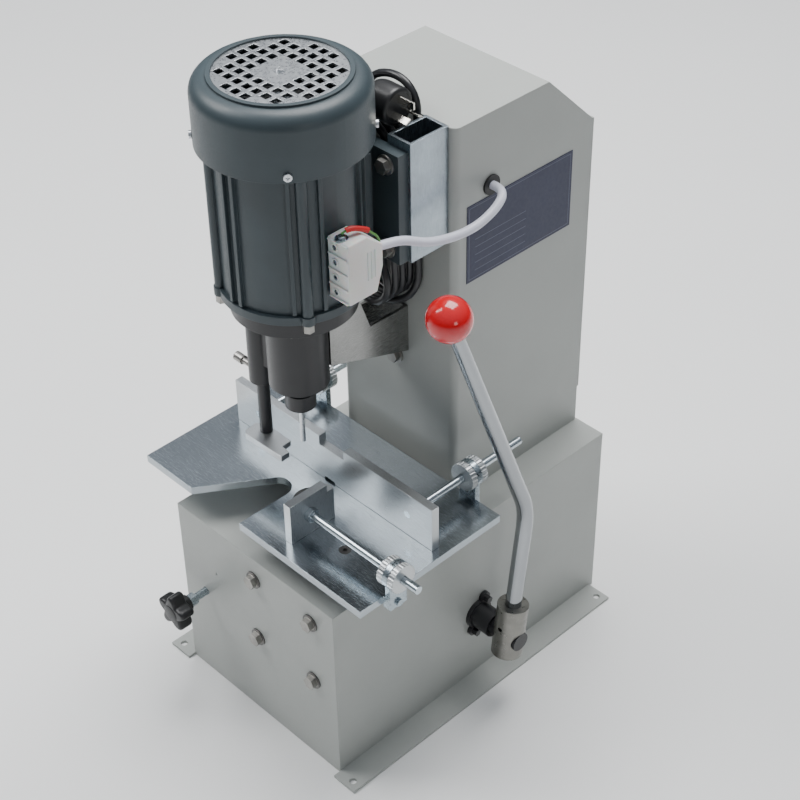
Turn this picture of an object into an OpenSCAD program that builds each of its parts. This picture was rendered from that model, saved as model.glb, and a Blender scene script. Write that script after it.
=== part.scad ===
// Bench paper drill: +X is the machine's right, +Y its back, origin amid the bolt-down holes.

/* [Base] */
// Width of the base box
base_w = 220; // [210:1:240]
// Length of the base box, front to back
base_l = 366; // [362:1:380]
// Height of the base box
base_h = 208; // [204:1:220]
// Thickness of the base sheet
base_t = 2.5; // [2:0.5:3]
// Width of each bolt-down flange
flange_w = 28; // [26:1:32]
// Thickness of each bolt-down flange
flange_t = 3; // [2:0.5:4]
// Diameter of the bolt-down holes
foot_hole_d = 7; // [5.5:0.5:9]
// Distance of the bolt-down holes from the flange's side
foot_in = 10; // [8:0.5:12]
// Distance of the bolt-down holes from the flange's ends
foot_end = 8.25; // [8:0.25:12]

/* [Column] */
// Width of the column
col_w = 150; // [146:1:160]
// Depth of the column
col_d = 175.2; // [165:0.1:176]
// Height of the column above the base
col_h = 404; // [400:1:420]
// Depth of the column's sloped top
slope_d = 60.5; // [50:0.5:70]
// Height of the column's sloped top
slope_h = 59.5; // [50:0.5:70]
// Thickness of the column sheet
col_t = 2; // [1.5:0.5:2.5]
// Radius of the column's front edges
col_r = 7; // [5:0.5:9]

/* [Motor] */
// Radius of the motor body
motor_r = 60.5; // [60:0.5:62]
// Height of the motor body
motor_h = 146; // [140:1:150]
// Radius of the fan cowl
cowl_r = 73.5; // [72.5:0.5:76]
// Height of the fan cowl
cowl_h = 59.4; // [54:0.2:64]
// Diameter of the grille disc
grille_d = 110; // [104:1:116]
// Pitch of the grille holes
grille_pitch = 11.4; // [11:0.1:12]
// Side of a grille hole
grille_hole = 7.6; // [6:0.1:8]

/* [Spindle] */
// Radius of the spindle barrel
barrel_r = 27.3; // [26:0.1:29]
// Height of the spindle barrel
barrel_l = 85; // [80:1:90]
// Radius of the spindle flange
spindle_flange_r = 55.5; // [54:0.5:58]
// Thickness of the spindle flange
spindle_flange_t = 19; // [16:1:22]
// Diameter of the spindle nose
nose_d = 28.5; // [26:0.5:30]
// Height of the spindle nose
nose_l = 30; // [26:1:34]
// Outer diameter of the hollow drill
drill_d = 5; // [4:0.5:8]
// Length of the drill below the nose
drill_l = 40.8; // [38:0.2:44]
// Diameter of the motor shaft
shaft_d = 20; // [18:1:22]

/* [Table] */
// Width of the work table
table_w = 298; // [290:1:300]
// Depth of the work table
table_d = 176; // [170:1:176]
// Thickness of the work table
table_t = 8; // [6:0.5:10]
// Height of the table top above the base
table_rise = 37.4; // [36:0.2:40]
// Gap between the table top and the drill's tip
tip_gap = 63.8; // [63.8:0.2:68]
// Lift of the table
table_lift = 63.5; // [50:0.5:63.5]
// Diameter of the cutting pad
pad_d = 33; // [30:1:36]
// Diameter of the lift posts
post_d = 22; // [20:1:24]

/* [Fence and stop] */
// Length of the fence
fence_l = 268; // [250:1:280]
// Thickness of the fence
fence_t = 8.5; // [7:0.5:10]
// Height of the fence
fence_h = 48.4; // [44:0.2:52]
// Diameter of the fence and stop rods
rod_d = 8; // [7:0.5:8.5]
// Length of the fence rods behind the fence
fence_rod_l = 139; // [120:1:150]
// Diameter of the knurled nuts
nut_d = 28; // [26:1:30]
// Height of the side stop
stop_h = 43.9; // [40:0.1:48]
// Thickness of the side stop
stop_t = 8.5; // [7:0.5:10]

/* [Lever] */
// Diameter of the ball knob
ball_d = 40; // [36:1:42]
// Diameter of the lever hub
hub_d = 31; // [29:1:34]
// Diameter of the lever rod at the hub
lever_d = 16; // [14:0.5:17]
// Diameter of the lever rod at the ball
lever_tip_d = 13; // [12:0.5:14]
// Length of the lever's lower straight
lever_low_l = 151.9; // [140:0.1:160]
// Length of the lever's upper straight to the ball centre
lever_up_l = 289.5; // [270:0.5:300]
// Tilt of the lower straight to the back, in degrees
lever_tilt = 7.2; // [5:0.1:9]
// Tilt of the upper straight to the front, in degrees
lever_lean = 20.9; // [18:0.1:23]

/* [Presser] */
// Diameter of the presser rod
presser_d = 12; // [10:0.5:13]
// Thickness of the presser foot
foot_t = 6; // [5:0.5:7]

/* [Hidden] */
$fn = 64;
// overrun of every cut, the gap between moving pieces, and the radial clearance of shafts in bores
cut = 1;
gap = 0.3;
fit = 0.05;

// heights of the frame
top_z = base_h + table_rise;
table_z = top_z - table_t;
tip_z = top_z + tip_gap;
nose_z = tip_z + drill_l;
barrel_z = nose_z + nose_l;
flange_z = barrel_z + barrel_l;
bell_z = flange_z + spindle_flange_t;
bell_t = 8;
motor_z = bell_z + bell_t;
motor_top = motor_z + motor_h;
cowl_lap = 12;
cowl_z = motor_top - cowl_lap;
cowl_top = cowl_z + cowl_h;
col_top = base_h + col_h;

// bolt-down holes, and the base's front and back
flange_front = 8.5;
flange_short = 5.5;
flange_l = base_l + flange_front - flange_short;
foot_span_x = base_w + 2 * flange_w - 2 * foot_in;
foot_span_y = flange_l - 2 * foot_end;
flange_y0 = -flange_l / 2;
front_y = flange_y0 + flange_front;
back_y = front_y + base_l;

// column, spindle and table, measured back from the base's front
col_in = 188.8;
spindle_in = 70;
table_over = 1.5;
col_y = front_y + col_in;
col_back = col_y + col_d;
spindle_y = front_y + spindle_in;
table_front = front_y - table_over;
table_back = table_front + table_d;

// four bolts of the guide block on the front wall, and the posts in it
post_side_in = 31;
post_in = 44;
guide_x = [0, base_w / 2 - post_side_in];
bolt_drop = 26.5;
bolt_step = 75.5;
guide_z = [base_h - bolt_drop - bolt_step, base_h - bolt_drop];
post_y = front_y + post_in;
guide_side = 22;
guide_over = 17;
guide_front = front_y + base_t;
guide_back = post_y + guide_over;
guide_h = 96;
guide_drop = 16;
guide_bottom = base_h - guide_drop - guide_h;
bolt_d = 8;
hex_d = 14;
hex_h = 5.5;
washer_d = 18;
washer_t = 1.6;

// lever shaft, arm and strut
shaft_in = 187.5;
lever_out = 43;
lever_y = front_y + shaft_in;
lever_z = 84;
lever_x = base_w / 2 + lever_out;
shaft_side_d = 20;
arm_l = 105;
arm_rest = asin(table_lift / 2 / arm_l);
roller_r = 12;
roller_gap = 0.4;
strut_x = 30;
strut_w = 19;
strut_in = 75;
strut_y = front_y + strut_in;
strut_d = 18;
strut_z = lever_z - table_lift / 2 + roller_r + roller_gap;
carrier_t = 10;
carrier_z = table_z - carrier_t;
carrier_edge = 8;
carrier_side = 21;
carrier_x1 = guide_x[1] + carrier_side;
post_z = 40;
opening_gap = 4;

// table lock
lock_side_in = 31.7;
lock_drop = 95;
lock_in = 91;
lock_x = -base_w / 2 + lock_side_in;
lock_z = base_h - lock_drop;
lock_y = front_y + lock_in;
lock_w = 20;
lock_t = 5;
lock_low = 40;
spare_hole_up = 36;
stud_d = 8;
knob_d = 40;
knob_out = 29;
knob_y = front_y - knob_out;
knob_t = 16;

// fence, stop and their rods above the table
rod_rise = 24.1;
rod_z = top_z + rod_rise;
fence_x = -129;
fence_in = 96.5;
fence_y = front_y + fence_in;
rod_x = [107, -97];
bracket_t = 6;
nut_t = 6.5;
stop_x = 35;
stop_in = 36;
stop_y = front_y + stop_in;
stop_rod_out = 34.5;
stop_rod_x = table_w / 2 + stop_rod_out;

// spindle bearings and presser
bearing_r = 21;
bearing_h = 12;
boss_r = 12;
boss_up = 7.5;
boss_z = nose_z + boss_up;
screw_up = 6.5;
presser_x = -47.5;
presser_before = 4;
presser_y = spindle_y - presser_before;
presser_drop = 18.7;
presser_foot_z = tip_z - presser_drop;
socket_share = 0.8;

// motor tubes and feet
tube_x0 = 40.7;
tube_x1 = 67.4;
tube_l = 43.8;
tube_y0 = col_y - tube_l;
tube_up = 7;
tube_z0 = motor_z + tube_up;
tube_h = 114.3;
tube_t = 3;
foot_x0 = 22;
foot_x1 = 64;
foot_plate_t = 11;
foot_up = 8;
foot_z0 = motor_z + foot_up;
foot_h = 105;
foot_bolt_x = 50;
foot_bolt_rise = 12;
foot_bolt_zs = [foot_z0 + foot_bolt_rise, foot_z0 + foot_h - foot_bolt_rise];

// a hexagon bolt head with its washer on a face, pointing along +Z
module hex_bolt(head_d, head_h, disc_d, disc_t, shank_d, shank_l) {
    translate([0, 0, -shank_l])
        cylinder(d = shank_d, h = shank_l + disc_t + head_h / 2);
    cylinder(d = disc_d, h = disc_t);
    translate([0, 0, disc_t])
        cylinder(d = head_d, h = head_h, $fn = 6);
}

// a box given by its two corners
module block(low, high) {
    translate(low)
        cube(high - low);
}

// a round bar along +Y or +X from a point
module bar_y(from, length, diameter) {
    translate(from)
        rotate([-90, 0, 0])
            cylinder(d = diameter, h = length);
}
module bar_x(from, length, diameter) {
    translate(from)
        rotate([0, 90, 0])
            cylinder(d = diameter, h = length);
}

// base box with its flanges, and the holes of its front, side and top walls
module base_housing() {
    hole_gap = 0.5;
    color([0.72, 0.73, 0.70])
    difference() {
        union() {
            block([-base_w / 2, front_y, 0], [base_w / 2, back_y, base_h]);
            for (side = [-1, 1])
                block([min(side * base_w / 2, side * (base_w / 2 + flange_w)), flange_y0, 0],
                    [max(side * base_w / 2, side * (base_w / 2 + flange_w)), flange_y0 + flange_l, flange_t]);
        }
        block([-base_w / 2 + base_t, front_y + base_t, -cut],
            [base_w / 2 - base_t, back_y - base_t, base_h - base_t]);
        for (sx = [-1, 1], sy = [-1, 1])
            translate([sx * foot_span_x / 2, sy * foot_span_y / 2, -cut])
                cylinder(d = foot_hole_d, h = flange_t + 2 * cut);
        // front wall: guide bolts, lock stud and a spare tapped hole
        for (x = guide_x, z = guide_z)
            bar_y([x, front_y - cut, z], base_t + 2 * cut, bolt_d + hole_gap);
        bar_y([lock_x, front_y - cut, lock_z], base_t + 2 * cut, stud_d + hole_gap);
        bar_y([lock_x + knob_d / 2, front_y - cut, lock_z + spare_hole_up], base_t + 2 * cut, base_t);
        // side walls: lever shaft
        for (side = [-1, 1])
            bar_x([side * base_w / 2 - base_t - cut, lever_y, lever_z],
                2 * (base_t + cut), shaft_side_d + hole_gap);
        // top wall: lift posts, strut, lock bar and cable
        for (x = guide_x)
            translate([x, post_y, base_h - base_t - cut])
                cylinder(d = post_d + opening_gap, h = base_t + 2 * cut);
        block([strut_x - opening_gap, strut_y - opening_gap, base_h - base_t - cut],
            [strut_x + strut_w + opening_gap, strut_y + strut_d + opening_gap, base_h + cut]);
        block([lock_x - lock_w / 2 - opening_gap, lock_y - opening_gap, base_h - base_t - cut],
            [lock_x + lock_w / 2 + opening_gap, lock_y + lock_t + opening_gap, base_h + cut]);
    }
}

// inner post: a rectangular tube on a foot plate, right behind the column's front sheet
post_w = 100;
post_depth = 50;
post_wall = 4;
post_plate_t = 6;
post_plate_over = 10;
post_short = 12;
module inner_post() {
    y0 = col_y + col_t;
    color([0.35, 0.36, 0.37])
    difference() {
        union() {
            block([-post_w / 2, y0, base_h], [post_w / 2, y0 + post_depth, col_top - post_short]);
            block([-post_w / 2 - post_plate_over, y0, base_h],
                [post_w / 2 + post_plate_over, y0 + post_depth + post_plate_over, base_h + post_plate_t]);
        }
        block([-post_w / 2 + post_wall, y0 + post_wall, base_h - cut],
            [post_w / 2 - post_wall, y0 + post_depth - post_wall, col_top]);
        bar_y([0, y0 - cut, column_bolt_z], post_wall + 2 * cut, bolt_d);
        bar_y([gland_x, y0 - cut, gland_z], post_depth + 2 * cut, grommet_d + cut);
    }
}

// column cover: one folded sheet, open at its foot and at its rear opening
rear_up = 42;
rear_z0 = base_h + rear_up;
rear_z1 = col_top - slope_h;
rear_in = 12;
slope_deg = atan(slope_h / slope_d);
column_bolt_drop = 5;
column_bolt_z = nose_z - column_bolt_drop;
grommet_d = 19;
grommet_in = 44;
grommet_y = col_y + grommet_in;
grommet_drop = 70.5;
grommet_z = col_top - grommet_drop;
gland_x = 13;
gland_up = 35;
gland_z = flange_z + gland_up;
gland_d = 14;
switch_in = 89.2;
switch_y = col_y + switch_in;
switch_drop = 154;
switch_z = col_top - switch_drop;
switch_l = 34;
switch_w = 20;
module column_side(inset) {
    rotate([90, 0, 90])
        linear_extrude(height = col_w - 2 * inset, center = true)
            polygon([[col_y + inset, base_h], [col_back - inset, base_h],
                [col_back - inset, rear_z1 - inset * tan(45 - slope_deg / 2)],
                [col_back - slope_d - inset * tan(slope_deg / 2), col_top - inset],
                [col_y + inset, col_top - inset]]);
}
module column_plan(inset) {
    r = col_r - inset;
    x = col_w / 2 - inset;
    translate([0, 0, base_h])
        linear_extrude(height = col_h)
            union() {
                translate([-x, col_y + inset + r])
                    square([2 * x, col_d - 2 * inset - r]);
                translate([-x + r, col_y + inset])
                    square([2 * (x - r), r]);
                for (s = [-1, 1])
                    translate([s * (x - r), col_y + inset + r])
                        circle(r = r);
            }
}
module column_cover() {
    color([0.80, 0.81, 0.78])
    difference() {
        intersection() {
            column_side(0);
            column_plan(0);
        }
        translate([0, 0, -cut])
            intersection() {
                column_side(col_t);
                column_plan(col_t);
            }
        block([-col_w / 2 + rear_in, col_back - col_t - cut, rear_z0 + rear_in],
            [col_w / 2 - rear_in, col_back + cut, rear_z1 - rear_in]);
        bar_x([col_w / 2 - col_t - cut, grommet_y, grommet_z], col_t + 2 * cut, grommet_d - 2 * col_t);
        bar_y([gland_x, col_y - cut, gland_z], col_t + 2 * cut, gland_d - 2 * col_t);
        bar_y([0, col_y - cut, column_bolt_z], col_t + 2 * cut, bolt_d);
        block([-col_w / 2 - cut, switch_y - switch_l / 2, switch_z - switch_w / 2],
            [-col_w / 2 + col_t + cut, switch_y + switch_l / 2, switch_z + switch_w / 2]);
        at_rear_screws(-col_t - cut)
            cylinder(d = pan_d, h = col_t + 2 * cut);
    }
}

// the six screw places of the rear panel, pointing back from its outer face or a depth before it
module at_rear_screws(depth) {
    hole_in = rear_in / 2;
    for (sx = [-1, 1], z = [rear_z0 + hole_in, (rear_z0 + rear_z1) / 2, rear_z1 - hole_in])
        translate([sx * (col_w / 2 - hole_in), col_back + depth, z])
            rotate([-90, 0, 0])
                children();
}
module rear_panel() {
    color([0.78, 0.79, 0.76])
    difference() {
        block([-col_w / 2, col_back, rear_z0], [col_w / 2, col_back + col_t, rear_z1]);
        at_rear_screws(-cut)
            cylinder(d = pan_d, h = col_t + 2 * cut);
        // louvres of the panel
        for (i = [0 : louvre_count - 1])
            block([-louvre_w / 2, col_back - cut, rear_z0 + louvre_low + i * louvre_step],
                [louvre_w / 2, col_back + col_t + cut, rear_z0 + louvre_low + i * louvre_step + louvre_h]);
    }
}
pan_d = 4;
louvre_count = 6;
louvre_w = 80;
louvre_h = 4;
louvre_low = 40;
louvre_step = 14;

label_l = 134.9;
label_h = 78.7;
label_in = 14.8;
label_y = col_y + label_in;
label_drop = 159.8;
label_z = col_top - label_drop;
label_t = 0.6;
module label_plate() {
    color([0.16, 0.18, 0.33])
        block([col_w / 2, label_y, label_z], [col_w / 2 + label_t, label_y + label_l, label_z + label_h]);
}

// a rubber grommet: a ring with a groove for the sheet, along +Z, its sheet at zero
module grommet(outer_d, bore_d) {
    lip = 2;
    rotate_extrude()
        difference() {
            translate([bore_d / 2, -col_t - lip])
                square([outer_d / 2 - bore_d / 2, col_t + 2 * lip]);
            translate([outer_d / 2 - col_t - fit, -col_t - fit])
                square([col_t + cut, col_t + 2 * fit]);
        }
}
module cable_grommets() {
    color([0.06, 0.06, 0.06]) {
        translate([col_w / 2, grommet_y, grommet_z])
            rotate([0, 90, 0])
                grommet(grommet_d, cable_d + 2 * fit);
        translate([gland_x, col_y, gland_z])
            rotate([90, 0, 0])
                grommet(gland_d, cord_d + 2 * fit);
    }
}

// switch on the column's left wall
switch_depth = 24;
switch_flange = 3;
switch_wall = 2;
module switch_body() {
    inner = switch_l / 2 - fit;
    hollow = switch_w / 2 - switch_wall - fit;
    x = -col_w / 2;
    color([0.08, 0.08, 0.08])
    difference() {
        union() {
            block([x, switch_y - inner, switch_z - switch_w / 2 + fit],
                [x + switch_depth, switch_y + inner, switch_z + switch_w / 2 - fit]);
            block([x - switch_wall, switch_y - inner - switch_flange, switch_z - switch_w / 2 - switch_flange],
                [x, switch_y + inner + switch_flange, switch_z + switch_w / 2 + switch_flange]);
        }
        block([x - switch_wall - cut, switch_y - inner + switch_wall, switch_z - hollow],
            [x + switch_depth - switch_wall, switch_y + inner - switch_wall, switch_z + hollow]);
    }
}
rocker_r = 13;
rocker_x = 4;
rocker_rim = 4;
rocker_face_deg = 20;
module switch_rocker() {
    half = switch_w / 2 - switch_wall - fit - gap;
    x = -col_w / 2 + rocker_x;
    color([0.65, 0.06, 0.05])
    translate([x, switch_y, switch_z])
        difference() {
            translate([0, 0, -half])
                cylinder(r = rocker_r, h = 2 * half);
            block([rocker_x / 2, -rocker_r - cut, -half - cut], [rocker_r + cut, rocker_r + cut, half + cut]);
            // the two finger faces, each tilted away from the middle
            for (s = [-1, 1])
                rotate(180 + s * rocker_face_deg)
                    block([rocker_r - rocker_rim, -rocker_r - cut, -half - cut],
                        [rocker_r + cut, rocker_r + cut, half + cut]);
        }
}

// run capacitor held inside the column
cap_d = 36;
cap_l = 70;
cap_drop = 104;
cap_z = col_top - cap_drop;
module capacitor() {
    color([0.85, 0.85, 0.82])
        translate([-col_w / 2 + col_t + cap_d / 2, col_back - slope_d - cap_d / 2, cap_z])
            cylinder(d = cap_d, h = cap_l);
}

// two square tubes that hold the motor off the column
module motor_tubes() {
    color([0.55, 0.60, 0.62])
    for (s = [0, 1])
        mirror([s, 0, 0])
            difference() {
                block([tube_x0, tube_y0, tube_z0], [tube_x1, col_y, tube_z0 + tube_h]);
                block([tube_x0 + tube_t, tube_y0 + tube_t, tube_z0 - cut],
                    [tube_x1 - tube_t, col_y - tube_t, tube_z0 + tube_h + cut]);
                for (z = foot_bolt_zs)
                    bar_y([foot_bolt_x, tube_y0 - cut, z], tube_t + 2 * cut, bolt_d);
            }
}

// motor body: ribbed tube with a closed top, two feet at its back and four cowl bosses
stator_r = 52;
motor_lid = 14;
rib_w = 3.5;
rib_out = 3.5;
rib_up = 2;
rib_angles = [-152, -142, -94, -84, -40, -16, 28, 42, 96, 108, 138, 172];
tie_angles = [-120, -30, 60, 150];
tie_r = 62;
tie_d = 6;
tie_l = 30;
lug_r = 6;
lug_step = 1;
cowl_angles = [-129, -39, 51, 141];
cowl_wall = 1.5;
cowl_boss_w = 12;
module around_spindle(angle) {
    translate([0, spindle_y, 0])
        rotate(angle)
            children();
}
module motor_frame() {
    color([0.20, 0.24, 0.27])
    difference() {
        union() {
            translate([0, spindle_y, motor_z])
                cylinder(r = motor_r, h = motor_h);
            for (angle = rib_angles)
                around_spindle(angle)
                    block([motor_r - rib_w, -rib_w / 2, motor_z + rib_up],
                        [motor_r + rib_out, rib_w / 2, cowl_z - gap]);
            for (angle = tie_angles)
                around_spindle(angle)
                    translate([tie_r, 0, motor_z])
                        cylinder(r = lug_r - lug_step, h = cowl_z - 2 * gap - motor_z);
            for (angle = cowl_angles)
                around_spindle(angle)
                    block([motor_r - rib_w, -cowl_boss_w / 2, cowl_z],
                        [cowl_r - cowl_wall, cowl_boss_w / 2, motor_top]);
            for (s = [0, 1])
                mirror([s, 0, 0]) {
                    block([foot_x0, tube_y0 - foot_plate_t, foot_z0], [foot_x1, tube_y0, foot_z0 + foot_h]);
                    block([foot_x0, spindle_y + stator_r, foot_z0],
                        [foot_x0 + foot_plate_t, tube_y0, foot_z0 + foot_h]);
                    block([foot_x0, spindle_y + foot_x1 / 2, foot_z0],
                        [foot_x0 + 2 * foot_plate_t, tube_y0 - 2 * foot_plate_t, foot_z0 + foot_h]);
                }
        }
        translate([0, spindle_y, motor_z - cut])
            cylinder(r = stator_r, h = motor_h - motor_lid + cut);
        translate([0, spindle_y, motor_z])
            cylinder(r = bearing_r, h = motor_h + cut);
        for (angle = tie_angles)
            around_spindle(angle)
                translate([tie_r, 0, motor_z - cut])
                    cylinder(d = tie_d, h = tie_l + cut);
        for (angle = cowl_angles)
            around_spindle(angle)
                bar_x([motor_r, 0, (cowl_z + motor_top) / 2], cowl_r - motor_r, pan_d);
        for (s = [-1, 1], z = foot_bolt_zs)
            bar_y([s * foot_bolt_x, tube_y0 - foot_plate_t - cut, z], foot_plate_t + 2 * cut, bolt_d);
    }
}

// lower end bell: the motor's cover between body and spindle flange, with lugs for the tie bolts
bell_clear = 2;
module lower_end_bell() {
    color([0.17, 0.20, 0.23])
    difference() {
        union() {
            translate([0, spindle_y, bell_z])
                cylinder(r = motor_r + rib_out, h = bell_t);
            for (angle = tie_angles)
                around_spindle(angle)
                    translate([tie_r, 0, bell_z])
                        cylinder(r = lug_r, h = bell_t);
        }
        translate([0, spindle_y, bell_z - cut])
            cylinder(r = shaft_d / 2 + bell_clear, h = bell_t + 2 * cut);
        for (angle = tie_angles)
            around_spindle(angle)
                translate([tie_r, 0, bell_z - cut])
                    cylinder(d = tie_d, h = bell_t + 2 * cut);
    }
}

tie_head_d = 10;
tie_head_h = 7;
tie_disc_t = 1;
module tie_bolts() {
    color([0.45, 0.45, 0.43])
    for (angle = tie_angles)
        around_spindle(angle)
            translate([tie_r, 0, bell_z])
                rotate([180, 0, 0])
                    hex_bolt(tie_head_d, tie_head_h, tie_head_d, tie_disc_t, tie_d, bell_t + tie_l);
}

// bolts of feet, spindle flange, column and bracket, and the guide screw of the presser rod
flange_bolt_r = 42.5;
flange_bolt_d = 6;
flange_head_d = 10;
flange_head_h = 6;
screw_head_d = 9;
screw_head_l = 10;
screw_shank_l = 19.2;
module motor_bolts() {
    color([0.42, 0.42, 0.41]) {
        for (s = [-1, 1], z = foot_bolt_zs)
            translate([s * foot_bolt_x, tube_y0 - foot_plate_t, z])
                rotate([90, 0, 0])
                    hex_bolt(hex_d, hex_h, washer_d, washer_t, bolt_d, foot_plate_t + 2 * tube_t);
        for (i = [0 : 3])
            around_spindle(45 + 90 * i)
                translate([flange_bolt_r, 0, flange_z - flange_head_h])
                    difference() {
                        union() {
                            cylinder(d = flange_head_d, h = flange_head_h);
                            cylinder(d = flange_bolt_d, h = flange_head_h + spindle_flange_t);
                        }
                        translate([0, 0, -cut])
                            cylinder(d = flange_bolt_d, h = flange_head_h / 2 + cut, $fn = 6);
                    }
        translate([0, col_y, column_bolt_z])
            rotate([90, 0, 0])
                hex_bolt(hex_d, hex_h, washer_d, washer_t, bolt_d, col_t + post_wall + hex_h);
        translate([presser_x - presser_d / 2 - gap - screw_shank_l - screw_head_l, presser_y,
            boss_z + screw_up])
            difference() {
                union() {
                    bar_x([0, 0, 0], screw_head_l, screw_head_d);
                    bar_x([0, 0, 0], screw_head_l + screw_shank_l, flange_bolt_d);
                }
                rotate([0, 90, 0])
                    translate([0, 0, -cut])
                        cylinder(d = flange_bolt_d * socket_share, h = screw_head_l / 2 + cut, $fn = 6);
            }
    }
}

// windings, and the bearings of the spindle
stator_up = 22;
stator_z = motor_z + stator_up;
stator_l = 90;
coil_l = 14;
coil_in = 4;
rotor_r = 35;
air_gap = 0.5;
bearing_low = 3;
module stator() {
    color([0.55, 0.32, 0.16])
    translate([0, spindle_y, stator_z])
        difference() {
            union() {
                cylinder(r = stator_r, h = stator_l);
                translate([0, 0, -coil_l])
                    cylinder(r = stator_r - coil_in, h = stator_l + 2 * coil_l);
            }
            translate([0, 0, -coil_l - cut])
                cylinder(r = rotor_r + air_gap, h = stator_l + 2 * (coil_l + cut));
        }
}
module bearings() {
    color([0.7, 0.7, 0.72])
    for (z = [barrel_z + bearing_low, flange_z + spindle_flange_t - bearing_h, motor_top - motor_lid])
        translate([0, spindle_y, z])
            difference() {
                cylinder(r = bearing_r, h = bearing_h);
                translate([0, 0, -cut])
                    cylinder(r = shaft_d / 2 + fit, h = bearing_h + 2 * cut);
            }
}

// fan cowl with a rounded shoulder and a raised rim round the grille
shoulder_r = 14;
rim_w = 4;
rim_h = 2;
grille_t = 2;
grille_drop = 1.5;
grille_reach = 4;
module fan_cowl() {
    color([0.20, 0.24, 0.27])
    difference() {
        translate([0, spindle_y, 0])
            rotate_extrude()
                difference() {
                    cowl_half(cowl_r, cowl_top - rim_h, shoulder_r);
                    cowl_half(cowl_r - cowl_wall, cowl_top - rim_h - cowl_wall, shoulder_r - cowl_wall);
                    translate([0, cowl_top - rim_h - 2 * cowl_wall])
                        square([grille_d / 2, rim_h + 4 * cowl_wall]);
                }
        for (angle = cowl_angles)
            around_spindle(angle)
                bar_x([cowl_r - cowl_wall - cut, 0, (cowl_z + motor_top) / 2], cowl_wall + 2 * cut, pan_d);
    }
    color([0.20, 0.24, 0.27])
        translate([0, spindle_y, cowl_top - rim_h - cowl_wall])
            difference() {
                cylinder(r = grille_d / 2 + rim_w, h = rim_h + cowl_wall);
                translate([0, 0, -cut])
                    cylinder(r = grille_d / 2, h = rim_h + cowl_wall + 2 * cut);
            }
}
module cowl_half(radius, height, round_r) {
    translate([0, cowl_z])
        square([radius, height - cowl_z - round_r]);
    translate([0, cowl_z])
        square([radius - round_r, height - cowl_z]);
    translate([radius - round_r, height - round_r])
        intersection() {
            circle(r = round_r);
            square(round_r);
        }
}

module fan_grille() {
    color([0.72, 0.74, 0.76])
    translate([0, spindle_y, cowl_top - grille_drop - grille_t])
        difference() {
            cylinder(d = grille_d - 2 * fit, h = grille_t);
            for (i = [-grille_reach : grille_reach], j = [-grille_reach : grille_reach])
                if (max(abs(i), abs(j)) > 1 && (max(abs(i), abs(j)) < grille_reach
                    || min(abs(i), abs(j)) < 2))
                    translate([i * grille_pitch - grille_hole / 2, j * grille_pitch - grille_hole / 2, -cut])
                        cube([grille_hole, grille_hole, grille_t + 2 * cut]);
            translate([0, 0, -cut])
                cylinder(d = pan_d, h = grille_t + 2 * cut);
        }
}

// black casting under the motor: flange, barrel and the boss of the presser rod
module spindle_housing() {
    color([0.07, 0.07, 0.08])
    difference() {
        union() {
            translate([0, spindle_y, flange_z])
                cylinder(r = spindle_flange_r, h = spindle_flange_t);
            translate([0, spindle_y, barrel_z])
                cylinder(r = barrel_r, h = barrel_l + cut);
            translate([presser_x, presser_y, boss_z])
                cylinder(r = boss_r, h = flange_z - boss_z + cut);
            block([presser_x, presser_y - boss_r / 2, barrel_z], [0, presser_y + boss_r / 2, flange_z + cut]);
        }
        translate([0, spindle_y, barrel_z - cut])
            cylinder(r = bearing_r, h = barrel_l + spindle_flange_t + 2 * cut);
        translate([presser_x, presser_y, boss_z - cut])
            cylinder(r = presser_d / 2 + fit, h = bell_z - boss_z + 2 * cut);
        bar_x([presser_x - boss_r - cut, presser_y, boss_z + screw_up], boss_r + cut, flange_bolt_d);
        for (i = [0 : 3])
            around_spindle(45 + 90 * i)
                translate([flange_bolt_r, 0, flange_z - cut])
                    cylinder(d = flange_bolt_d, h = spindle_flange_t + 2 * cut);
    }
}

// two cheeks on a back plate from the column to the barrel and the flange
cheek_x = 15;
cheek_t = 3;
cheek_drop = 57;
cheek_top = flange_z - cheek_drop;
cheek_rise = 10;
cheek_fall = 23;
cheek_front_z = barrel_z + cheek_rise;
cheek_back_z = barrel_z - cheek_fall;
cheek_front_y = spindle_y + sqrt(pow(barrel_r, 2) - pow(cheek_x - cheek_t / 2, 2));
cheek_step = 46.8;
cheek_slope = 20;
module spindle_bracket() {
    color([0.40, 0.42, 0.43]) {
        for (s = [-1, 1])
            translate([s * cheek_x, 0, 0])
                rotate([90, 0, 90])
                    linear_extrude(height = cheek_t, center = true)
                        polygon([[col_y, cheek_back_z], [cheek_front_y, cheek_front_z],
                            [cheek_front_y, flange_z], [col_y - cheek_step - cheek_slope, flange_z],
                            [col_y - cheek_step, cheek_top], [col_y, cheek_top]]);
        block([-cheek_x, col_y - cheek_t, cheek_back_z], [cheek_x, col_y, cheek_top]);
    }
}

// terminal block on the motor's right side: a cover with sloped rear corners and an earth screw on top
term_x = 61;
term_w = 25;
term_before = 13;
term_y = spindle_y - term_before;
term_d = 38;
term_up = 23;
term_z = bell_z + term_up;
term_h = 58;
term_top_in = 17;
term_top_down = 14;
term_low_in = 7;
term_low_up = 23;
earth_d = 5;
module terminal_block() {
    color([0.92, 0.92, 0.90])
    difference() {
        union() {
            translate([term_x, term_y, term_z])
                rotate([90, 0, 90])
                    linear_extrude(height = term_w)
                        polygon([[0, 0], [term_d - term_low_in, 0], [term_d, term_low_up],
                            [term_d, term_h - term_top_down], [term_d - term_top_in, term_h], [0, term_h]]);
            translate([term_x + term_w / 2, term_y + earth_d, term_z + term_h])
                cylinder(d = 2 * earth_d, h = earth_d / 2);
        }
        translate([term_x + term_w / 2, term_y + earth_d, term_z + term_h - earth_d])
            cylinder(d = earth_d, h = 2 * earth_d);
        bar_y([term_x + term_w - cable_in, term_y + term_d - entry_in, term_z + cable_up], entry_in + cut, entry_d);
    }
}

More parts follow.
